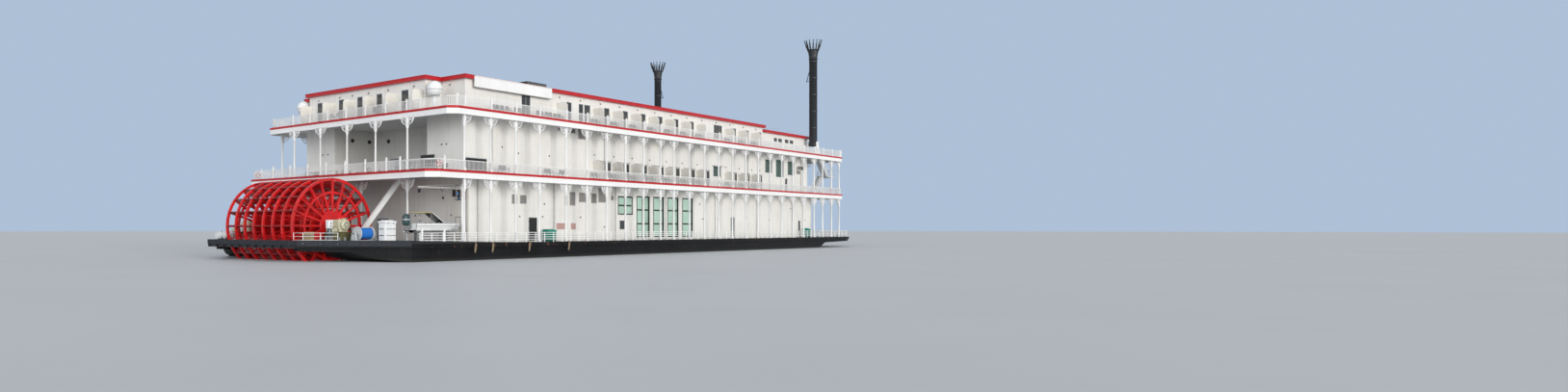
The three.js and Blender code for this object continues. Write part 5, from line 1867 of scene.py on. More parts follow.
def crane_boom_form():
    """The boom: a collar on the pin, an I-beam with trolley, tackle and winch, and a stay from the collar."""
    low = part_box("crane_boom")[0]
    form = Form("stack_black", placing(CRANE_AT))
    tip, heel = low.x - CRANE_AT.x, -0.016
    form.add(hoop(0.0238, 0.0112, -0.025, 0.025, 24), "trim_white")
    form.add(hoop(0.018, 0.0112, 0.042, 0.052, 24), "trim_white")
    for y in (-0.016, 0.0125):
        form.box((-0.02, y, 0.023), (-0.008, y + 0.0035, 0.052), 0.0008, "trim_white")
    # The I-beam is white: the black lower flange and the grey web and ribs are painted shade under its lit
    # top flange.
    for a, b, wide, finish in ((-0.012, -0.008, 0.011, "stack_black"), (0.007, 0.011, 0.011, "trim_white"),
                               (-0.009, 0.008, 0.0022, "louvre_grey")):
        form.box((tip, -wide, a), (heel, wide, b), 0.0008, finish)
    for i in range(11):
        x = tip + 0.03 + (heel - tip - 0.06) * i / 10
        form.box((x - 0.001, -0.01, -0.009), (x + 0.001, 0.01, 0.008), 0, "louvre_grey")
    form.box((tip, -0.0095, -0.05), (tip + 0.025, 0.0095, -0.009), 0.002)
    form.rod((tip + 0.03, 0, 0.011), (heel, 0, 0.05), 0.0024, 8, "louvre_grey")
    winch = placing((-0.085, 0, -0.014))
    for x in (-0.034, 0.03):
        form.box((x, -0.02, -0.062), (x + 0.004, 0.02, 0.002), 0.001, at=winch)
    form.box((-0.034, -0.02, -0.064), (0.034, 0.02, -0.06), 0.001, at=winch)
    drum = [
        (0, -0.016), (0.021, -0.016), (0.021, -0.012), (0.012, -0.011), (0.012, 0.011), (0.021, 0.012),
        (0.021, 0.016), (0, 0.016)
    ]
    form.add(lathe(drum, 24), "gear_grey", winch @ along_y((0, 0, -0.032)))
    for y in (-0.019, 0.016):
        form.add(
            lathe([(0, y), (0.0125, y), (0.0125, y + 0.003), (0, y + 0.003)], 20), "hose_blue",
            winch @ along_y((0, 0, -0.032))
        )
    trolley, drop = placing((-0.26, 0, 0)), -0.085
    form.box((-0.014, -0.014, -0.025), (0.014, 0.014, -0.013), 0.002, "gear_grey", trolley)
    for x in (-0.006, 0.006):
        form.rod((x, 0, drop), (x, 0, -0.02), 0.0012, 6, "bare_steel", trolley)
    form.box((-0.011, -0.006, drop - 0.018), (0.011, 0.006, drop + 0.003), 0.003, at=trolley)
    hook = [(0, 0, drop - 0.016)]
    hook += [(0.008 * math.sin(t), 0, drop - 0.03 + 0.008 * math.cos(t)) for t in np.linspace(0, 4.2, 10)]
    form.round(sweep(hook, 0.002, 8), "bare_steel", trolley)
    return form


def raft_crate_form():
    """A large white locker for rafts: ribbed sides, a lid, two dark lashing bands and skids."""
    form, size = inside("raft_crate", "moulded_white")
    for x in (0.02, size.x - 0.05):
        form.box((x, 0, 0), (x + 0.03, size.y, 0.014), 0.001, "gear_grey")
    body = 0.014
    lid = size.z - 0.03
    form.box((0.005, 0.005, body), (size.x - 0.005, size.y - 0.005, lid), 0.004)
    form.box((0, 0, lid), (size.x, size.y, size.z - 0.008), 0.004)
    form.box((0.02, 0.02, size.z - 0.009), (size.x - 0.02, size.y - 0.02, size.z), 0.003)
    for i in range(7):
        x = 0.02 + (size.x - 0.04) * i / 6
        for y0, y1 in ((0.001, 0.006), (size.y - 0.006, size.y - 0.001)):
            form.box((x - 0.005, y0, body + 0.006), (x + 0.005, y1, lid - 0.006), 0.0018)
    for i in range(5):
        y = 0.02 + (size.y - 0.04) * i / 4
        for x0, x1 in ((0.001, 0.006), (size.x - 0.006, size.x - 0.001)):
            form.box((x0, y - 0.005, body + 0.006), (x1, y + 0.005, lid - 0.006), 0.0018)
    for z in (body + 0.06, body + 0.12):
        for i in range(6):
            x = 0.012 + (size.x - 0.024) * (i + 0.18) / 6
            form.box((x, -0.0004, z), (x + 0.011, 0.004, z + 0.006), 0, "stack_black")
        form.box((-0.0004, 0.02, z), (0.004, size.y - 0.02, z + 0.006), 0, "stack_black")
    for x in (0.04, size.x - 0.04):
        form.box((x - 0.004, -0.0006, lid - 0.008), (x + 0.004, 0.004, lid + 0.008), 0.001, "bare_steel")
    return form


def lockers_form():
    """Two deck boxes side by side: one of tan boards with straps, one red with a sloping lid."""
    form, size = inside("deck_lockers", "tan_wood")
    split = size.x * 0.36
    top = size.z
    form.box((0.002, 0.002, 0.004), (split - 0.003, size.y - 0.002, top - 0.012), 0.001)
    boards = 6
    for i in range(boards):
        x0 = (split - 0.004) * i / boards
        x1 = (split - 0.004) * (i + 0.92) / boards
        for y0, y1 in ((0, 0.003), (size.y - 0.003, size.y)):
            form.box((x0, y0, 0), (x1, y1, top - 0.01), 0.0008)
    for i in range(8):
        y0 = size.y * i / 8
        y1 = size.y * (i + 0.92) / 8
        form.box((0, y0, 0), (0.003, y1, top - 0.01), 0.0008)
    form.box((-0.001, -0.001, top - 0.012), (split - 0.002, size.y + 0.001, top), 0.002)
    for z in (0.025, top - 0.035):
        form.box((-0.0008, -0.0008, z), (split - 0.003, size.y + 0.0008, z + 0.006), 0, "gear_grey")
    form.box((split + 0.002, 0, 0), (size.x, size.y, top - 0.016), 0.003, "signal_red")
    lid = [
        (split, top - 0.016), (size.x + 0.001, top - 0.016), (size.x + 0.001, top - 0.008),
        (split + 0.03, top), (split, top)
    ]
    form.add(prism(lid, -0.001, size.y + 0.001, "y"), "signal_red")
    for y in (0.025, size.y - 0.025):
        form.box(
            (size.x, y - 0.004, top - 0.026), (size.x + 0.002, y + 0.004, top - 0.01), 0.0006, "bare_steel"
        )
    return form


def canisters_form():
    """Two raft canisters with ribbed ends and steel bands, side by side on their cradle."""
    form = Form("slate_blue")
    low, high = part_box("raft_canisters")
    level = DECK1 + 0.072
    radius = 0.042
    for y in (0.775, 0.865):
        outline = [
            (0, low.x), (radius * 0.55, low.x + 0.001), (radius * 0.9, low.x + 0.008), (radius, low.x + 0.02)
        ]
        middle = (low.x + high.x) / 2
        for x in (middle - 0.028, middle, middle + 0.028):
            grow = 0.0018 if x == middle else 0.0008
            outline += [
                (radius - 0.001, x - 0.006), (radius - 0.001 + grow, x - 0.004),
                (radius - 0.001 + grow, x + 0.004), (radius - 0.001, x + 0.006)
            ]
        outline += [
            (radius, high.x - 0.02), (radius * 0.9, high.x - 0.008), (radius * 0.55, high.x - 0.001),
            (0, high.x)
        ]
        form.round(lathe([(r, x) for r, x in outline], 32), "moulded_white", along_x((0, y, level)))
        for x in (middle - 0.034, middle + 0.034):
            form.add(
                hoop(radius + 0.0014, radius - 0.002, x - 0.003, x + 0.003, 32, "x", (y, level)), "bare_steel"
            )
            form.box(
                (x - 0.004, y - 0.007, level + radius - 0.001),
                (x + 0.004, y + 0.007, level + radius + 0.004), 0.001, "bare_steel"
            )
    for x in (low.x + 0.02, high.x - 0.034):
        saddle = [(0.735, DECK1), (0.905, DECK1), (0.905, DECK1 + 0.045)]
        for centre in (0.865, 0.775):
            saddle += [(
                centre + (radius + 0.001) * math.sin(t), level - (radius + 0.001) * math.cos(t)
            ) for t in (0.8, 0.3, -0.3, -0.8)]
        saddle += [(0.735, DECK1 + 0.045)]
        form.add(prism(saddle, x, x + 0.014, "x"))
    for y in (0.74, 0.9):
        form.box((low.x + 0.004, y - 0.005, DECK1), (high.x - 0.004, y + 0.005, DECK1 + 0.01), 0.001)
    return form


def crew_door_form():
    """The dark crew door of the starboard side: a frame, upright slats, a kick plate, handle and hinges."""
    form = Form("vent_black")
    low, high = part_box("crew_door_starboard")
    back, face = high.y, low.y
    leaf = [low.x + 0.003, high.x]
    edge = 0.012
    form.box((leaf[0], face + 0.0025, low.z), (leaf[1], back, high.z), 0.0008)
    for a, b in ((leaf[0], leaf[0] + edge), (leaf[1] - edge, leaf[1])):
        form.box((a, face, low.z), (b, back - 0.001, high.z), 0.001)
    for a, b in ((low.z, low.z + 0.04), (high.z - edge, high.z), (low.z + 0.115, low.z + 0.125)):
        form.box((leaf[0], face, a), (leaf[1], back - 0.001, b), 0.001)
    count = 11
    for i in range(count):
        x = leaf[0] + edge + (leaf[1] - leaf[0] - 2 * edge) * (i + 0.5) / count
        form.box(
            (x - 0.0022, face + 0.0006, low.z + 0.04), (x + 0.0022, face + 0.004, high.z - edge), 0.0005,
            "black_metal"
        )
    grip = [(leaf[1] - 0.008, face, low.z + 0.1), (leaf[1] - 0.008, face - 0.005, low.z + 0.1),
            (leaf[1] - 0.008, face - 0.005, low.z + 0.125), (leaf[1] - 0.008, face, low.z + 0.125)]
    form.round(sweep(grip, 0.0013, 6), "bare_steel")
    hinge_x, hinge_y = along(1.162), -1.3565
    for z in (low.z + 0.03, (low.z + high.z) / 2, high.z - 0.05):
        form.rod((hinge_x, hinge_y, z), (hinge_x, hinge_y, z + 0.02), 0.0032, 10, "bare_steel")
    return form


def bitts_form():
    """A pair of mooring bitts on a plate, with a turn of rope."""
    form = Form("gear_grey")
    form.box((-0.042, -0.018, 0), (0.042, 0.018, 0.005), 0.0015)
    for x in (-0.025, 0.025):
        post = [
            (0, 0.004), (0.012, 0.004), (0.011, 0.05), (0.0135, 0.052), (0.0135, 0.058), (0.01, 0.061),
            (0, 0.061)
        ]
        form.add(lathe(post, 20), at=placing((x, 0, 0)))
        for i in range(4):
            coil = [(
                0.0135 * math.cos(t), 0.0135 * math.sin(t), 0
            ) for t in np.linspace(0, 2 * math.pi, 20, endpoint=False)]
            form.round(sweep(coil, 0.0026, 6, True), "rope", placing((x, 0, 0.012 + 0.005 * i)))
    return form


def capstan_form():
    """An upright capstan with a waisted, ribbed barrel."""
    form = Form("gear_grey")
    outline = [
        (0, 0), (0.04, 0), (0.04, 0.008), (0.028, 0.012), (0.021, 0.03), (0.02, 0.05), (0.026, 0.068),
        (0.03, 0.074), (0.028, 0.08), (0.012, 0.085), (0, 0.085)
    ]
    form.add(lathe(outline, 28))
    rib = [
        (0.026, 0.013), (0.03, 0.013), (0.023, 0.032), (0.0225, 0.05), (0.028, 0.067), (0.024, 0.067),
        (0.018, 0.05), (0.018, 0.03)
    ]
    for i in range(8):
        form.add(prism(rib, -0.0018, 0.0018, "y"), at=turn(math.pi * i / 4, "Z"))
    ring_of_bolts(form, (0, 0, 0.008), 0.034, 8, "z", 0.003)
    return form


def bin_form(half_x, tall):
    """A ribbed bin with two lids and lifting pockets."""
    form = Form("bin_teal")
    half_y = 0.045
    rings = [
        oval(half_x * 0.88, half_y * 0.84, 0.008, count=24, power=9.0),
        oval(half_x, half_y, tall, count=24, power=9.0)
    ]
    form.add(loft(rings))
    form.box((-half_x - 0.003, -half_y - 0.003, tall - 0.008), (half_x + 0.003, half_y + 0.003, tall), 0.002)
    for a, b in ((-half_x, -0.002), (0.002, half_x)):
        lid = [
            (-half_y - 0.002, tall), (half_y, tall), (half_y, tall + 0.016), (0.0, tall + 0.019),
            (-half_y - 0.002, tall + 0.006)
        ]
        form.add(prism(lid, a, b, "x"))
    for i in range(7):
        x = -half_x * 0.85 + half_x * 1.7 * i / 6
        for way in (-1, 1):
            rib = [
                (way * half_y * 0.84, 0.01), (way * (half_y * 0.84 + 0.005), 0.01),
                (way * (half_y + 0.004), tall - 0.008), (way * half_y, tall - 0.008)
            ]
            form.add(prism(rib, x - 0.003, x + 0.003, "x"))
    for x in (-half_x * 0.7, half_x * 0.7):
        form.box((x - 0.012, -half_y, 0), (x + 0.012, half_y, 0.012), 0.002, "vent_black")
    return form


def fender_form():
    """A bundle of old rope hung over the deck's edge as a fender."""
    form = Form("rope")
    edge = -HALF_BEAM
    for dx, length in ((-0.006, 0.09), (0.0, 0.1), (0.006, 0.085)):
        line = [(dx * 0.4, edge + 0.03, 0.004), (dx * 0.6, edge - 0.002, 0.0045), (dx, edge - 0.009, -0.012),
                (dx - 0.006, edge - 0.0105, -length * 0.55), (dx * 1.4 - 0.012, edge - 0.0105, -length)]
        form.round(sweep(line, [0.003, 0.004, 0.0055, 0.0065, 0.0045], 8))
    form.rod((-0.014, edge - 0.0105, -0.03), (0.008, edge - 0.0105, -0.026), 0.009, 10)
    return form


def chair_form():
    """A slatted outdoor chair that faces +x."""
    form = Form()
    finish = "chair_grey"
    for y in (-0.023, 0.023):
        form.boxes([
            ((-0.024, y - 0.0016, 0), (-0.02, y + 0.0016, 0.084)),
            ((0.018, y - 0.0016, 0), (0.022, y + 0.0016, 0.062)),
            ((-0.024, y - 0.0028, 0.06), (0.025, y + 0.0028, 0.064)),
        ], 0, finish)
    for i in range(4):
        x = -0.02 + 0.0105 * i
        form.box((x, -0.022, 0.04), (x + 0.009, 0.022, 0.043), 0, finish)
    for i in range(5):
        y = -0.02 + 0.0085 * i
        form.box((-0.0235, y, 0.044), (-0.0215, y + 0.006, 0.084), 0, finish)
    form.box((-0.0245, -0.023, 0.082), (-0.0205, 0.023, 0.087), 0, finish)
    return form


def table_form():
    """A round table on one foot."""
    radius, height = 0.035, 0.072
    outline = [
        (0, 0), (0.02, 0), (0.02, 0.003), (0.003, 0.006), (0.003, height - 0.004),
        (radius * 0.9, height - 0.004), (radius, height - 0.002), (radius, height), (0, height)
    ]
    return Form().add(lathe(outline, 20), "pale_grey")


class STEAMER_OT_wheel_gear(bpy.types.Operator):
    """Makes the shaft's bearing stands, the drives, the brace plates and the power pack"""

    bl_idname = "steamer.wheel_gear"
    bl_label = "Wheel gear"

    def execute(self, context):
        repaint("trim_white", *both_sides("wheel_brace"))
        repaint("gear_grey", *both_sides("rudder"), *both_sides("engine"))
        for stem, make, slot in (
            ("bearing_stand", bearing_form, "machine_steel"), ("drive_set", wheel_drive_form, "machine_steel")
        ):
            node = {"bearing_stand": "wheel_bearing", "drive_set": "wheel_drive"}[stem]
            form = make()
            for side, matrix in (("starboard", Matrix.Identity(4)), ("port", MIRROR)):
                Form().copies(form, [matrix]).piece(f"{stem}_{side}", slot, [f"{node}_{side}"])
        brace_plates_form().mirrored().piece("brace_plates", "white_paint")
        power_pack_form().piece("power_pack", "machine_steel")
        return {"FINISHED"}


class STEAMER_OT_deck_gear(bpy.types.Operator):
    """Makes the hose reel, raft crate, lockers, canisters, bins, fenders, bitts and capstans"""

    bl_idname = "steamer.deck_gear"
    bl_label = "Deck gear"

    def execute(self, context):
        reel = Form().copies(reel_form(), [Matrix.Translation(REEL_AT)])
        reel.piece("hose_drum", "hose_blue", ["hose_reel_drum"], body="reel")
        reel_stand_form().piece("hose_stand", "machine_steel", ["hose_reel_stand"])
        raft_crate_form().piece("raft_locker", "moulded_white", ["raft_crate"])
        lockers_form().piece("deck_boxes", "machine_steel", ["deck_lockers"])
        canisters_form().piece("raft_drums", "moulded_white", ["raft_canisters"])
        bins = Form()
        for x, half, tall in ((1.36, 0.064, 0.115), (7.6, 0.045, 0.125)):
            bins.copies(bin_form(half, tall), [placing((along(x), -1.48, DECK1))])
        bins.mirrored().piece("deck_bins", "machine_steel")
        fenders = Form().copies(
            fender_form(), [placing((along(x), 0, DECK1)) for x in (0.115, 0.357, 0.9, 1.543)]
        )
        fenders.mirrored().piece("rope_fenders", "machine_steel")
        mooring = Form()
        bitts = bitts_form()
        mooring.copies(bitts, [placing((along(8.78), -1.5, DECK1))])
        mooring.copies(capstan_form(), [placing((along(8.95), -0.7, DECK1))])
        quarter = math.atan2(-0.87, 0.65)
        for x, y in ((-1.175, -0.92), (-1.06, -1.05)):
            mooring.copies(bitts, [placing((along(x), y, DECK1)) @ turn(quarter, "Z")])
        mooring.mirrored().piece("bitts_and_capstans", "machine_steel")
        return {"FINISHED"}


class STEAMER_OT_tender(bpy.types.Operator):
    """Makes the tender on its cradle, its motor and the boat crane"""

    bl_idname = "steamer.tender"
    bl_label = "Tender and crane"

    def execute(self, context):
        tender_form().piece("tender_boat", "moulded_white", ["tender"])
        outboard_form().piece("tender_motor", "machine_steel", ["outboard_motor"])
        crane_post_form().piece("crane_column", "white_paint", ["crane_post"])
        crane_boom_form().piece("crane_arm", "white_paint", ["crane_boom"], body="boom")
        return {"FINISHED"}


class STEAMER_OT_crew_doors(bpy.types.Operator):
    """Makes the hinged crew doors"""

    bl_idname = "steamer.crew_doors"
    bl_label = "Crew doors"

    def execute(self, context):
        form = crew_door_form()
        for side, matrix in (("starboard", Matrix.Identity(4)), ("port", MIRROR)):
            door_leaf = Form().copies(form, [matrix])
            door_leaf.piece(f"door_leaf_{side}", "door_paint", [f"crew_door_{side}"], body=f"{side}_door")
        return {"FINISHED"}


class STEAMER_OT_furniture(bpy.types.Operator):
    """Sets chairs and tables on the balconies and the terraces"""

    bl_idname = "steamer.furniture"
    bl_label = "Chairs and tables"

    def execute(self, context):
        chair = chair_form()
        form = Form()
        for level, places in ((DECK2, CABIN_PLACES), (DECK3, TOP_CABIN_PLACES)):
            for place in places:
                for dx in (-0.055, -0.125):
                    form.copies(chair, [placing((along(place + dx), -1.455, level), (0, -1, 0), (1, 0, 0))])
        rows = [(x, DECK3) for x in (0.52, 0.58, 0.64, 0.72, 0.85, 0.91, 1.2, 1.26, 1.34, 1.4)]
        rows += [(x, DECK2) for x in (0.62, 0.68, 1.32, 1.38, 1.58, 1.64)]
        for x, level in rows:
            form.copies(chair, [placing((along(x), -1.475, level), (0, -1, 0), (1, 0, 0))])
        form.mirrored().piece("balcony_chairs", "machine_steel")
        form = Form()
        table = table_form()
        spots = [(along(0.03), y, DECK2) for y in (-1.2, -0.62, -0.1, 0.4, 0.98)]
        spots += [(along(x), y, DECK2) for x in (0.4, 0.62) for y in (-0.55, 0.0, 0.5)]
        spots += [(along(-0.08), y, DECK3) for y in (-0.38, 0.34)]
        spots += [(along(8.2), y, DECK2) for y in (-0.9, -0.3, 0.3, 0.9)]
        for x, y, z in spots:
            form.copies(table, [placing((x, y, z))])
            for i in range(3):
                angle = 0.6 + 2 * math.pi * i / 3 + y
                seat = placing((x, y, z)) @ turn(angle, "Z") @ placing((-0.062, 0, 0))
                form.copies(chair, [seat])
        form.piece("terrace_furniture", "machine_steel")
        return {"FINISHED"}


def terrace_fittings():
    """Speakers, boards, counters and cabinets of the open rooms aft."""
    form = Form("vent_black")
    recess = end_wall(along(0.8), DECK2, -1)
    speaker = lathe(
        [(0, 0), (0.02, 0), (0.023, 0.004), (0.023, 0.014), (0.018, 0.018), (0.016, 0.013), (0, 0.011)], 24
    )
    for y in (-0.55, 0.55):
        form.round(speaker, at=recess @ placing((y, 0.47, 0)))
    for side in (-1, 1):
        for x in (0.45, 0.7):
            wall = placing((along(x), side * 0.8, DECK2 + 0.47), (side, 0, 0), (0, 0, 1), (0, -side, 0))
            form.round(speaker, at=wall)
    form.base = end_wall(along(0.2), DECK2, -1)
    form.box((-0.917, 0.171, 0), (-0.71, 0.204, 0.012), 0.002)
    for left, right in ((-0.975, -0.71), (-0.62, -0.49)):
        form.box((left, 0, 0), (right, 0.113, 0.05), 0.003, "gear_grey")
        form.box((left - 0.004, 0.113, 0), (right + 0.004, 0.149, 0.055), 0.002)
        for i in range(12):
            u = left + 0.008 + (right - left - 0.018) * i / 11
            form.box((u, 0.008, 0.049), (u + 0.006, 0.105, 0.053))
    for u in (-1.03, -1.1, 0.92, 1.02):
        wall_lamp(form, u, 0.3)
    for u in (0.85, 1.05, 1.2):
        form.box((u, 0.0, 0), (u + 0.09, 0.1, 0.04), 0.003, "pale_grey")
        form.box((u - 0.003, 0.1, 0), (u + 0.093, 0.106, 0.044), 0.001, "gear_grey")
    form.base = placing((along(0.66), 0, DECK2))
    form.box((-0.03, 0.52, 0), (0.03, 0.74, 0.098), 0.003, "stack_black")
    form.box((-0.038, 0.51, 0.098), (0.038, 0.75, 0.106), 0.002, "gear_grey")
    for y in (0.56, 0.6, 0.64, 0.7):
        bottle = [(0, 0), (0.004, 0), (0.004, 0.014), (0.0015, 0.018), (0.0015, 0.024), (0, 0.024)]
        form.round(lathe(bottle, 8), "deep_glass", placing((0.0, y, 0.106)))
    form.base = end_wall(along(0.265), DECK1, -1)
    for side in (-1, 1):
        form.box((side * 1.34, 0, -0.001), (side * 1.1, 0.6, 0.0025), 0, "cream")
        for low, high in ((0.427, 0.585), (0.03, 0.262)):
            left, right = sorted((side * 1.31, side * 1.16))
            window(form, left, right, low, high, 2, 2, "dark_glass", "black_metal")
    fan = placing((-1.218, 0.448, 0.002))
    form.add(hoop(0.019, 0.015, 0.0, 0.008, 20), "gear_grey", fan)
    form.round(lathe([(0, 0), (0.015, 0), (0.014, 0.004), (0, 0.006)], 20), "hose_blue", fan)
    return form


def side_pipes_form():
    """Rain pipes down the side walls, with their clips, and beams under the decks over them."""
    form = Form("louvre_grey")
    for level, height, places in (
        (DECK1, DECK2 - DECK1 - 0.03, (0.39, 1.58, 2.72, 3.8, 5.02, 6.2, 7.36)),
        (DECK2, DECK3 - DECK2 - 0.03, (0.6, 2.5, 4.4, 5.95, 7.66)),
    ):
        for place in places:
            x = along(place)
            y = -HOUSE_HALF - 0.006
            form.rod((x, y, level + 0.004), (x, y, level + height), 0.0032, 8)
            for share in (0.08, 0.4, 0.72, 0.96):
                z = level + height * share
                form.box((x - 0.006, y - 0.0042, z), (x + 0.006, -HOUSE_HALF + 0.001, z + 0.004), 0.0006)
    for deck in (DECK2, DECK3):
        under = deck - SLAB
        for x in POSTS:
            form.box(
                (x - 0.006, -POST_LINE + 0.01, under - 0.022),
                (x + 0.006, -HOUSE_HALF - 0.001, under - 0.0008), 0, "trim_white"
            )
    return form.mirrored()


def roof_gear_form():
    """Vents, hatches and seams on the flat of the roof."""
    form = Form()
    vent = Form()
    cap = [
        (0, 0), (0.022, 0), (0.022, 0.003), (0.012, 0.005), (0.012, 0.02), (0.021, 0.021), (0.023, 0.026),
        (0.017, 0.033), (0, 0.036)
    ]
    vent.add(lathe(cap, 20), "pale_grey")
    form.copies(
        vent, [placing((along(x), y, ROOF)) for x in np.arange(1.2, 7.3, 0.75) for y in (-0.62, 0.62)]
    )
    hatch = Form("pale_grey")
    hatch.box((-0.075, -0.05, 0), (0.075, 0.05, 0.022), 0.002)
    hatch.box((-0.08, -0.055, 0.022), (0.08, 0.055, 0.028), 0.002)
    for x in (-0.045, 0.045):
        hatch.bolt((x, -0.058, 0.02), (x, -0.052, 0.032), 0.003)
    form.copies(hatch, [placing((along(x), 0, ROOF)) for x in (1.0, 2.5, 4.0, 5.5)])
    unit = Form("gear_grey")
    unit.box((-0.12, -0.07, 0.008), (0.12, 0.07, 0.06), 0.003, "pale_grey")
    for x in (-0.1, 0.1):
        unit.box((x - 0.01, -0.065, 0), (x + 0.01, 0.065, 0.009))
    for x in (-0.055, 0.055):
        unit.add(hoop(0.045, 0.041, 0.059, 0.065, 24, "z", (x, 0)))
        unit.add(hoop(0.012, 0.004, 0.06, 0.064, 12, "z", (x, 0)))
        for i in range(8):
            spoke = block((0.01, -0.001, 0.061), (0.042, 0.001, 0.063))
            unit.add(spoke, at=placing((x, 0, 0)) @ turn(math.pi * i / 4, "Z"))
    for i in range(12):
        u = -0.105 + 0.0185 * i
        for y in (-0.0712, 0.0697):
            unit.box((u, y, 0.014), (u + 0.012, y + 0.0015, 0.054), 0, "louvre_grey")
    form.copies(unit, [placing((along(x), 0, ROOF)) for x in (1.75, 3.25, 4.75)])
    for x in np.arange(0.9, 7.9, 0.6):
        form.box(
            (along(x) - 0.0015, -1.37, ROOF - 0.0005), (along(x) + 0.0015, 1.37, ROOF + 0.0022), 0,
            "louvre_grey"
        )
    return form


def vent_box_form():
    """The long black vent at the roof's starboard edge, with sloping blades all round."""
    form, size = inside("roof_vent", "vent_black")
    form.box((0.004, 0.004, 0), (size.x - 0.004, size.y - 0.004, size.z - 0.004), 0.001)
    form.box((0, 0, size.z - 0.008), (size.x, size.y, size.z), 0.002)
    form.box((0, 0, 0), (size.x, size.y, 0.006), 0.001)
    for i in range(4):
        z = 0.01 + 0.0105 * i
        for y, way in ((0.004, -1), (size.y - 0.004, 1)):
            blade = [(y, z + 0.006), (y, z + 0.0075), (y + way * 0.004, z + 0.0015), (y + way * 0.004, z)]
            form.add(prism(blade, 0.003, size.x - 0.003, "x"), "gear_grey")
    for i in range(7):
        x = (size.x - 0.004) * i / 6
        for y in (0, size.y - 0.004):
            form.box((x, y, 0), (x + 0.004, y + 0.004, size.z - 0.004))
    return form


def cabinet_form():
    """A finned cooler on the second deck, dark, with a pale lid."""
    form, size = inside("deck_cabinet", "vent_black")
    form.box((0.005, 0.005, 0), (size.x - 0.005, size.y - 0.005, size.z - 0.008), 0.001)
    form.box((0, 0, size.z - 0.01), (size.x, size.y, size.z), 0.002, "pale_grey")
    count = 16
    for i in range(count):
        x = 0.006 + (size.x - 0.015) * i / (count - 1)
        form.box((x, 0, 0.01), (x + 0.003, 0.006, size.z - 0.012))
    form.box((0, 0, 0), (size.x, size.y, 0.01), 0.001, "gear_grey")
    return form


def lifebuoy_form():
    """A red lifebuoy with white bands and its line, flat against a rail on the side."""
    form = Form()
    ring = [
        (0.026 * math.cos(t), 0, 0.026 * math.sin(t)) for t in np.linspace(0, 2 * math.pi, 24, endpoint=False)
    ]
    form.round(sweep(ring, 0.0085, 10, True), "signal_red")
    for i in range(4):
        t = math.pi / 4 + math.pi / 2 * i
        band = [(0.026 * math.cos(t + d), 0, 0.026 * math.sin(t + d)) for d in (-0.22, 0.0, 0.22)]
        form.round(sweep(band, 0.0092, 10), "trim_white")
        form.round(ball(0.003, 8, 4), "rope", placing((0.036 * math.cos(t), 0, 0.036 * math.sin(t))))
    return form


class STEAMER_OT_fittings(bpy.types.Operator):
    """Sets the terrace fittings, rain pipes, deck beams, roof gear, vent and cooler"""

    bl_idname = "steamer.fittings"
    bl_label = "Fittings"

    def execute(self, context):
        terrace_fittings().piece("terrace_fittings", "machine_steel")
        side_pipes_form().piece("pipes_and_beams", "white_paint")
        roof_gear_form().piece("roof_gear", "roof_paint")
        vent_box_form().piece("roof_vent_box", "machine_steel", ["roof_vent"])
        cabinet_form().piece("deck_cooler", "machine_steel", ["deck_cabinet"])
        buoys = Form().copies(
            lifebuoy_form(), [placing((along(x), -RAIL_LINE + 0.012, DECK2 + 0.058)) for x in (-0.325, 8.3)]
        )
        buoys.mirrored().piece("lifebuoys", "machine_steel")
        return {"FINISHED"}


def stair_rails_form():
    """Handrails of the starboard bow stair: along both flights and round the landing between them."""
    form = Form("trim_white")
    low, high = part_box("bow_stair_starboard")
    aft, landing, fore = low.x + 0.01, along(8.34), high.x - 0.006
    turn_level = 1.37
    inner, middle, outer = high.y - 0.003, (low.y + high.y) / 2, low.y + 0.003
    down, back = landing + 0.02, aft + 0.01
    inner_run = [(aft, inner, DECK2), (landing, inner, turn_level), (fore, inner, turn_level)]
    outer_run = [(fore, outer, turn_level), (down, outer, turn_level), (back, outer, DECK3 - 0.03)]
    runs = (
        inner_run + outer_run,
        [(aft, middle + 0.002, DECK2), (landing, middle + 0.002, turn_level)],
        [(down, middle - 0.008, turn_level), (back, middle - 0.008, DECK3 - 0.03)],
    )
    for run in runs:
        for lift in (0.05, 0.095):
            form.round(sweep([(x, y, z + lift) for x, y, z in run], 0.0028, 8))
        for start, end in zip(run, run[1:]):
            start, end = Vector(start), Vector(end)
            count = max(1, round((end - start).length / 0.07))
            for i in range(count + 1):
                spot = start.lerp(end, i / count)
                base = Vector((spot.x, spot.y, max(DECK2, spot.z - 0.02)))
                form.rod(base, spot + Vector((0, 0, 0.095)), 0.0022, 6)
    return form


class STEAMER_OT_stairs(bpy.types.Operator):
    """Paints the bow stairs and gives them handrails"""

    bl_idname = "steamer.stairs"
    bl_label = "Bow stairs"

    def execute(self, context):
        repaint("pale_grey", *both_sides("bow_stair"))
        stair_rails_form().mirrored().piece("stair_rails", "white_paint")
        return {"FINISHED"}


# Stage


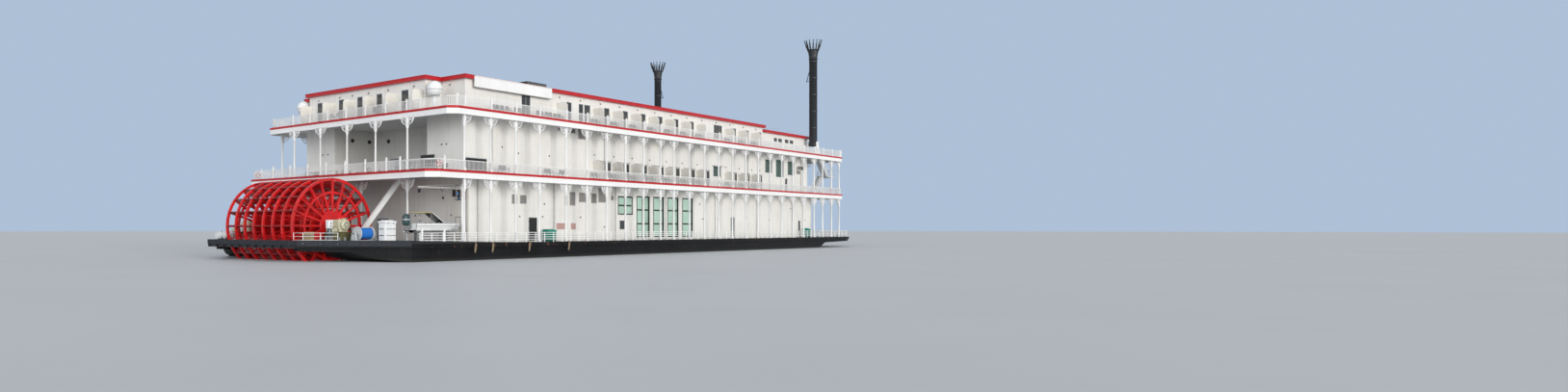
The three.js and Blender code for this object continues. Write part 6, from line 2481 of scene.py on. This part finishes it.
class STEAMER_OT_stage(bpy.types.Operator):
    """Lays the pale floor at the waterline and sets the light and the camera"""

    bl_idname = "steamer.stage"
    bl_label = "Stage"

    def execute(self, context):
        setting = context.scene.steamer_stage
        size = setting.floor_size / 2
        mesh = bpy.data.meshes.new("floor")
        mesh.from_pydata(
            [(-size, -size, WATER), (size, -size, WATER), (size, size, WATER), (-size, size, WATER)], [],
            [(0, 1, 2, 3)]
        )
        floor = bpy.data.objects.new("floor", mesh)
        context.scene.collection.objects.link(floor)
        wiring = Wiring("floor")
        tone = wiring.blend(wiring.noise(0.8, 3.0), (0.56, 0.58, 0.6), (0.62, 0.64, 0.66))
        mesh.materials.append(wiring.done(tone, wiring.level(wiring.noise(3.0), 0.0, 1.0, 0.5, 0.6)))

        world = bpy.data.worlds.new("studio")
        world.use_nodes = True
        tree = world.node_tree
        light = tree.nodes["Background"]
        light.inputs["Color"].default_value = (0.9, 0.94, 1.0, 1.0)
        light.inputs["Strength"].default_value = setting.sky_strength
        backdrop = tree.nodes.new("ShaderNodeBackground")
        backdrop.inputs["Color"].default_value = (*setting.backdrop, 1.0)
        seen = tree.nodes.new("ShaderNodeLightPath")
        mix = tree.nodes.new("ShaderNodeMixShader")
        tree.links.new(seen.outputs["Is Camera Ray"], mix.inputs[0])
        tree.links.new(light.outputs[0], mix.inputs[1])
        tree.links.new(backdrop.outputs[0], mix.inputs[2])
        tree.links.new(mix.outputs[0], tree.nodes["World Output"].inputs["Surface"])
        context.scene.world = world
        context.scene.view_settings.view_transform = "Standard"

        for name, power, softness, place, colour in (
            ("key", setting.key_power, setting.key_softness, setting.key_from, (1.0, 0.975, 0.93)),
            ("fill", setting.fill_power, math.radians(50.0), (-0.92, -0.3, 0.18), (0.94, 0.97, 1.0)),
        ):
            sun = bpy.data.lights.new(name, "SUN")
            sun.energy = power
            sun.angle = softness
            sun.color = colour
            lamp = bpy.data.objects.new(name, sun)
            lamp.rotation_euler = Vector(place).to_track_quat("Z", "Y").to_euler()
            context.scene.collection.objects.link(lamp)

        lens = bpy.data.cameras.new("camera")
        lens.sensor_width = 36.0
        lens.lens = setting.lens
        lens.shift_x = setting.shift_x
        lens.shift_y = setting.shift_y
        lens.clip_end = 400.0
        camera = bpy.data.objects.new("camera", lens)
        camera.location = setting.camera_place
        camera.rotation_euler = (math.radians(90.0), 0.0, setting.camera_heading)
        context.scene.collection.objects.link(camera)
        context.scene.camera = camera
        return {"FINISHED"}


class SteamerColours(bpy.types.PropertyGroup):
    """Main colours of the ship"""

    wall: bpy.props.FloatVectorProperty(
        name="Walls", description="House walls", subtype="COLOR", min=0, max=1, default=(0.8, 0.78, 0.74))
    trim: bpy.props.FloatVectorProperty(
        name="Trim", description="Posts, rails and boards", subtype="COLOR", min=0, max=1,
        default=(0.84, 0.84, 0.83)
    )
    red: bpy.props.FloatVectorProperty(
        name="Red trim", description="Deck and roof edges", subtype="COLOR", min=0, max=1,
        default=(0.5, 0.008, 0.014)
    )
    wheel: bpy.props.FloatVectorProperty(
        name="Wheel", description="Paddle wheel", subtype="COLOR", min=0, max=1, default=(0.72, 0.008, 0.01))
    hull: bpy.props.FloatVectorProperty(
        name="Hull", description="Hull above and below water", subtype="COLOR", min=0, max=1,
        default=(0.005, 0.0052, 0.006)
    )
    deck: bpy.props.FloatVectorProperty(
        name="Decks", description="Non-slip deck paint", subtype="COLOR", min=0, max=1,
        default=(0.26, 0.27, 0.27)
    )
    cream: bpy.props.FloatVectorProperty(
        name="Partitions", description="Balcony partitions", subtype="COLOR", min=0, max=1,
        default=(0.8, 0.77, 0.7)
    )
    glass: bpy.props.FloatVectorProperty(
        name="Glass", description="Large windows", subtype="COLOR", min=0, max=1, default=(0.46, 0.66, 0.54))


class SteamerSizes(bpy.types.PropertyGroup):
    """Sizes of the fine detail"""

    red_band: bpy.props.FloatProperty(
        name="Red band", description="Height of the red moulding", default=0.022, min=0.005, unit="LENGTH")
    baluster_pitch: bpy.props.FloatProperty(
        name="Baluster pitch", description="Distance between balusters", default=0.0165, min=0.008,
        unit="LENGTH"
    )
    baluster_width: bpy.props.FloatProperty(
        name="Baluster width", description="Width of a baluster", default=0.0034, min=0.001, unit="LENGTH")
    partition_height: bpy.props.FloatProperty(
        name="Partition height", description="Height of the balcony partitions", default=0.2205, min=0.1,
        unit="LENGTH"
    )
    paddle_thickness: bpy.props.FloatProperty(
        name="Paddle thickness", description="Thickness of a paddle board", default=0.0085, min=0.002,
        unit="LENGTH"
    )


class SteamerStage(bpy.types.PropertyGroup):
    """Floor, light and camera"""

    floor_size: bpy.props.FloatProperty(
        name="Floor", description="Side of the square floor", default=160.0, min=20.0, unit="LENGTH")
    sky_strength: bpy.props.FloatProperty(
        name="Sky", description="Strength of the light from all round", default=0.58, min=0.0)
    backdrop: bpy.props.FloatVectorProperty(
        name="Backdrop", description="Colour behind the ship", subtype="COLOR", min=0, max=1,
        default=(0.42, 0.53, 0.68)
    )
    key_power: bpy.props.FloatProperty(
        name="Key light", description="Strength of the large light to starboard", default=2.3, min=0.0)
    key_softness: bpy.props.FloatProperty(
        name="Softness", description="How wide the key light looks", default=math.radians(28), subtype="ANGLE"
    )
    fill_power: bpy.props.FloatProperty(
        name="Fill light", description="Strength of the very soft light from aft", default=1.4, min=0.0)
    key_from: bpy.props.FloatVectorProperty(
        name="Key from", description="Where the key light comes from", default=(-0.2, -0.97, 0.13),
        subtype="DIRECTION"
    )
    camera_place: bpy.props.FloatVectorProperty(
        name="Camera", description="Where the camera stands", default=(-10.19, -8.005, 0.5153),
        subtype="TRANSLATION"
    )
    camera_heading: bpy.props.FloatProperty(
        name="Heading", description="The way the camera looks", default=math.radians(-47.99), subtype="ANGLE")
    lens: bpy.props.FloatProperty(
        name="Lens", description="Focal length", default=21.15, min=1.0, unit="CAMERA"
    )
    shift_x: bpy.props.FloatProperty(name="Shift across", description="Sideways lens shift", default=0.162)
    shift_y: bpy.props.FloatProperty(name="Shift up", description="Upward lens shift", default=0.0203)


GROUPS = (
    ("steamer_colours", SteamerColours),
    ("steamer_sizes", SteamerSizes),
    ("steamer_stage", SteamerStage),
)
OPERATORS = (
    STEAMER_OT_hull,
    STEAMER_OT_decks,
    STEAMER_OT_walls,
    STEAMER_OT_end_walls,
    STEAMER_OT_partitions,
    STEAMER_OT_arcades,
    STEAMER_OT_rails,
    STEAMER_OT_wheel,
    STEAMER_OT_chimneys,
    STEAMER_OT_roof,
    STEAMER_OT_domes,
    STEAMER_OT_wheel_gear,
    STEAMER_OT_deck_gear,
    STEAMER_OT_tender,
    STEAMER_OT_crew_doors,
    STEAMER_OT_stairs,
    STEAMER_OT_fittings,
    STEAMER_OT_furniture,
    STEAMER_OT_stage,
)


class STEAMER_PT_panel(bpy.types.Panel):
    """Lists the ship's pieces in the sidebar"""

    bl_label = "Paddle steamer"
    bl_idname = "STEAMER_PT_panel"
    bl_space_type = "VIEW_3D"
    bl_region_type = "UI"
    bl_category = "Steamer"

    def draw(self, context):
        for operator in OPERATORS:
            self.layout.operator(operator.bl_idname)
        for name, group in GROUPS:
            box = self.layout.box()
            for prop in group.__annotations__:
                box.prop(getattr(context.scene, name), prop)


def register():
    for name, group in GROUPS:
        bpy.utils.register_class(group)
        setattr(bpy.types.Scene, name, bpy.props.PointerProperty(type=group))
    for operator in OPERATORS:
        bpy.utils.register_class(operator)
    bpy.utils.register_class(STEAMER_PT_panel)


def unregister():
    bpy.utils.unregister_class(STEAMER_PT_panel)
    for operator in reversed(OPERATORS):
        bpy.utils.unregister_class(operator)
    for name, group in reversed(GROUPS):
        delattr(bpy.types.Scene, name)
        bpy.utils.unregister_class(group)


def main():
    register()
    for operator in OPERATORS:
        area, name = operator.bl_idname.split(".")
        getattr(getattr(bpy.ops, area), name)()


if __name__ == "__main__":
    main()
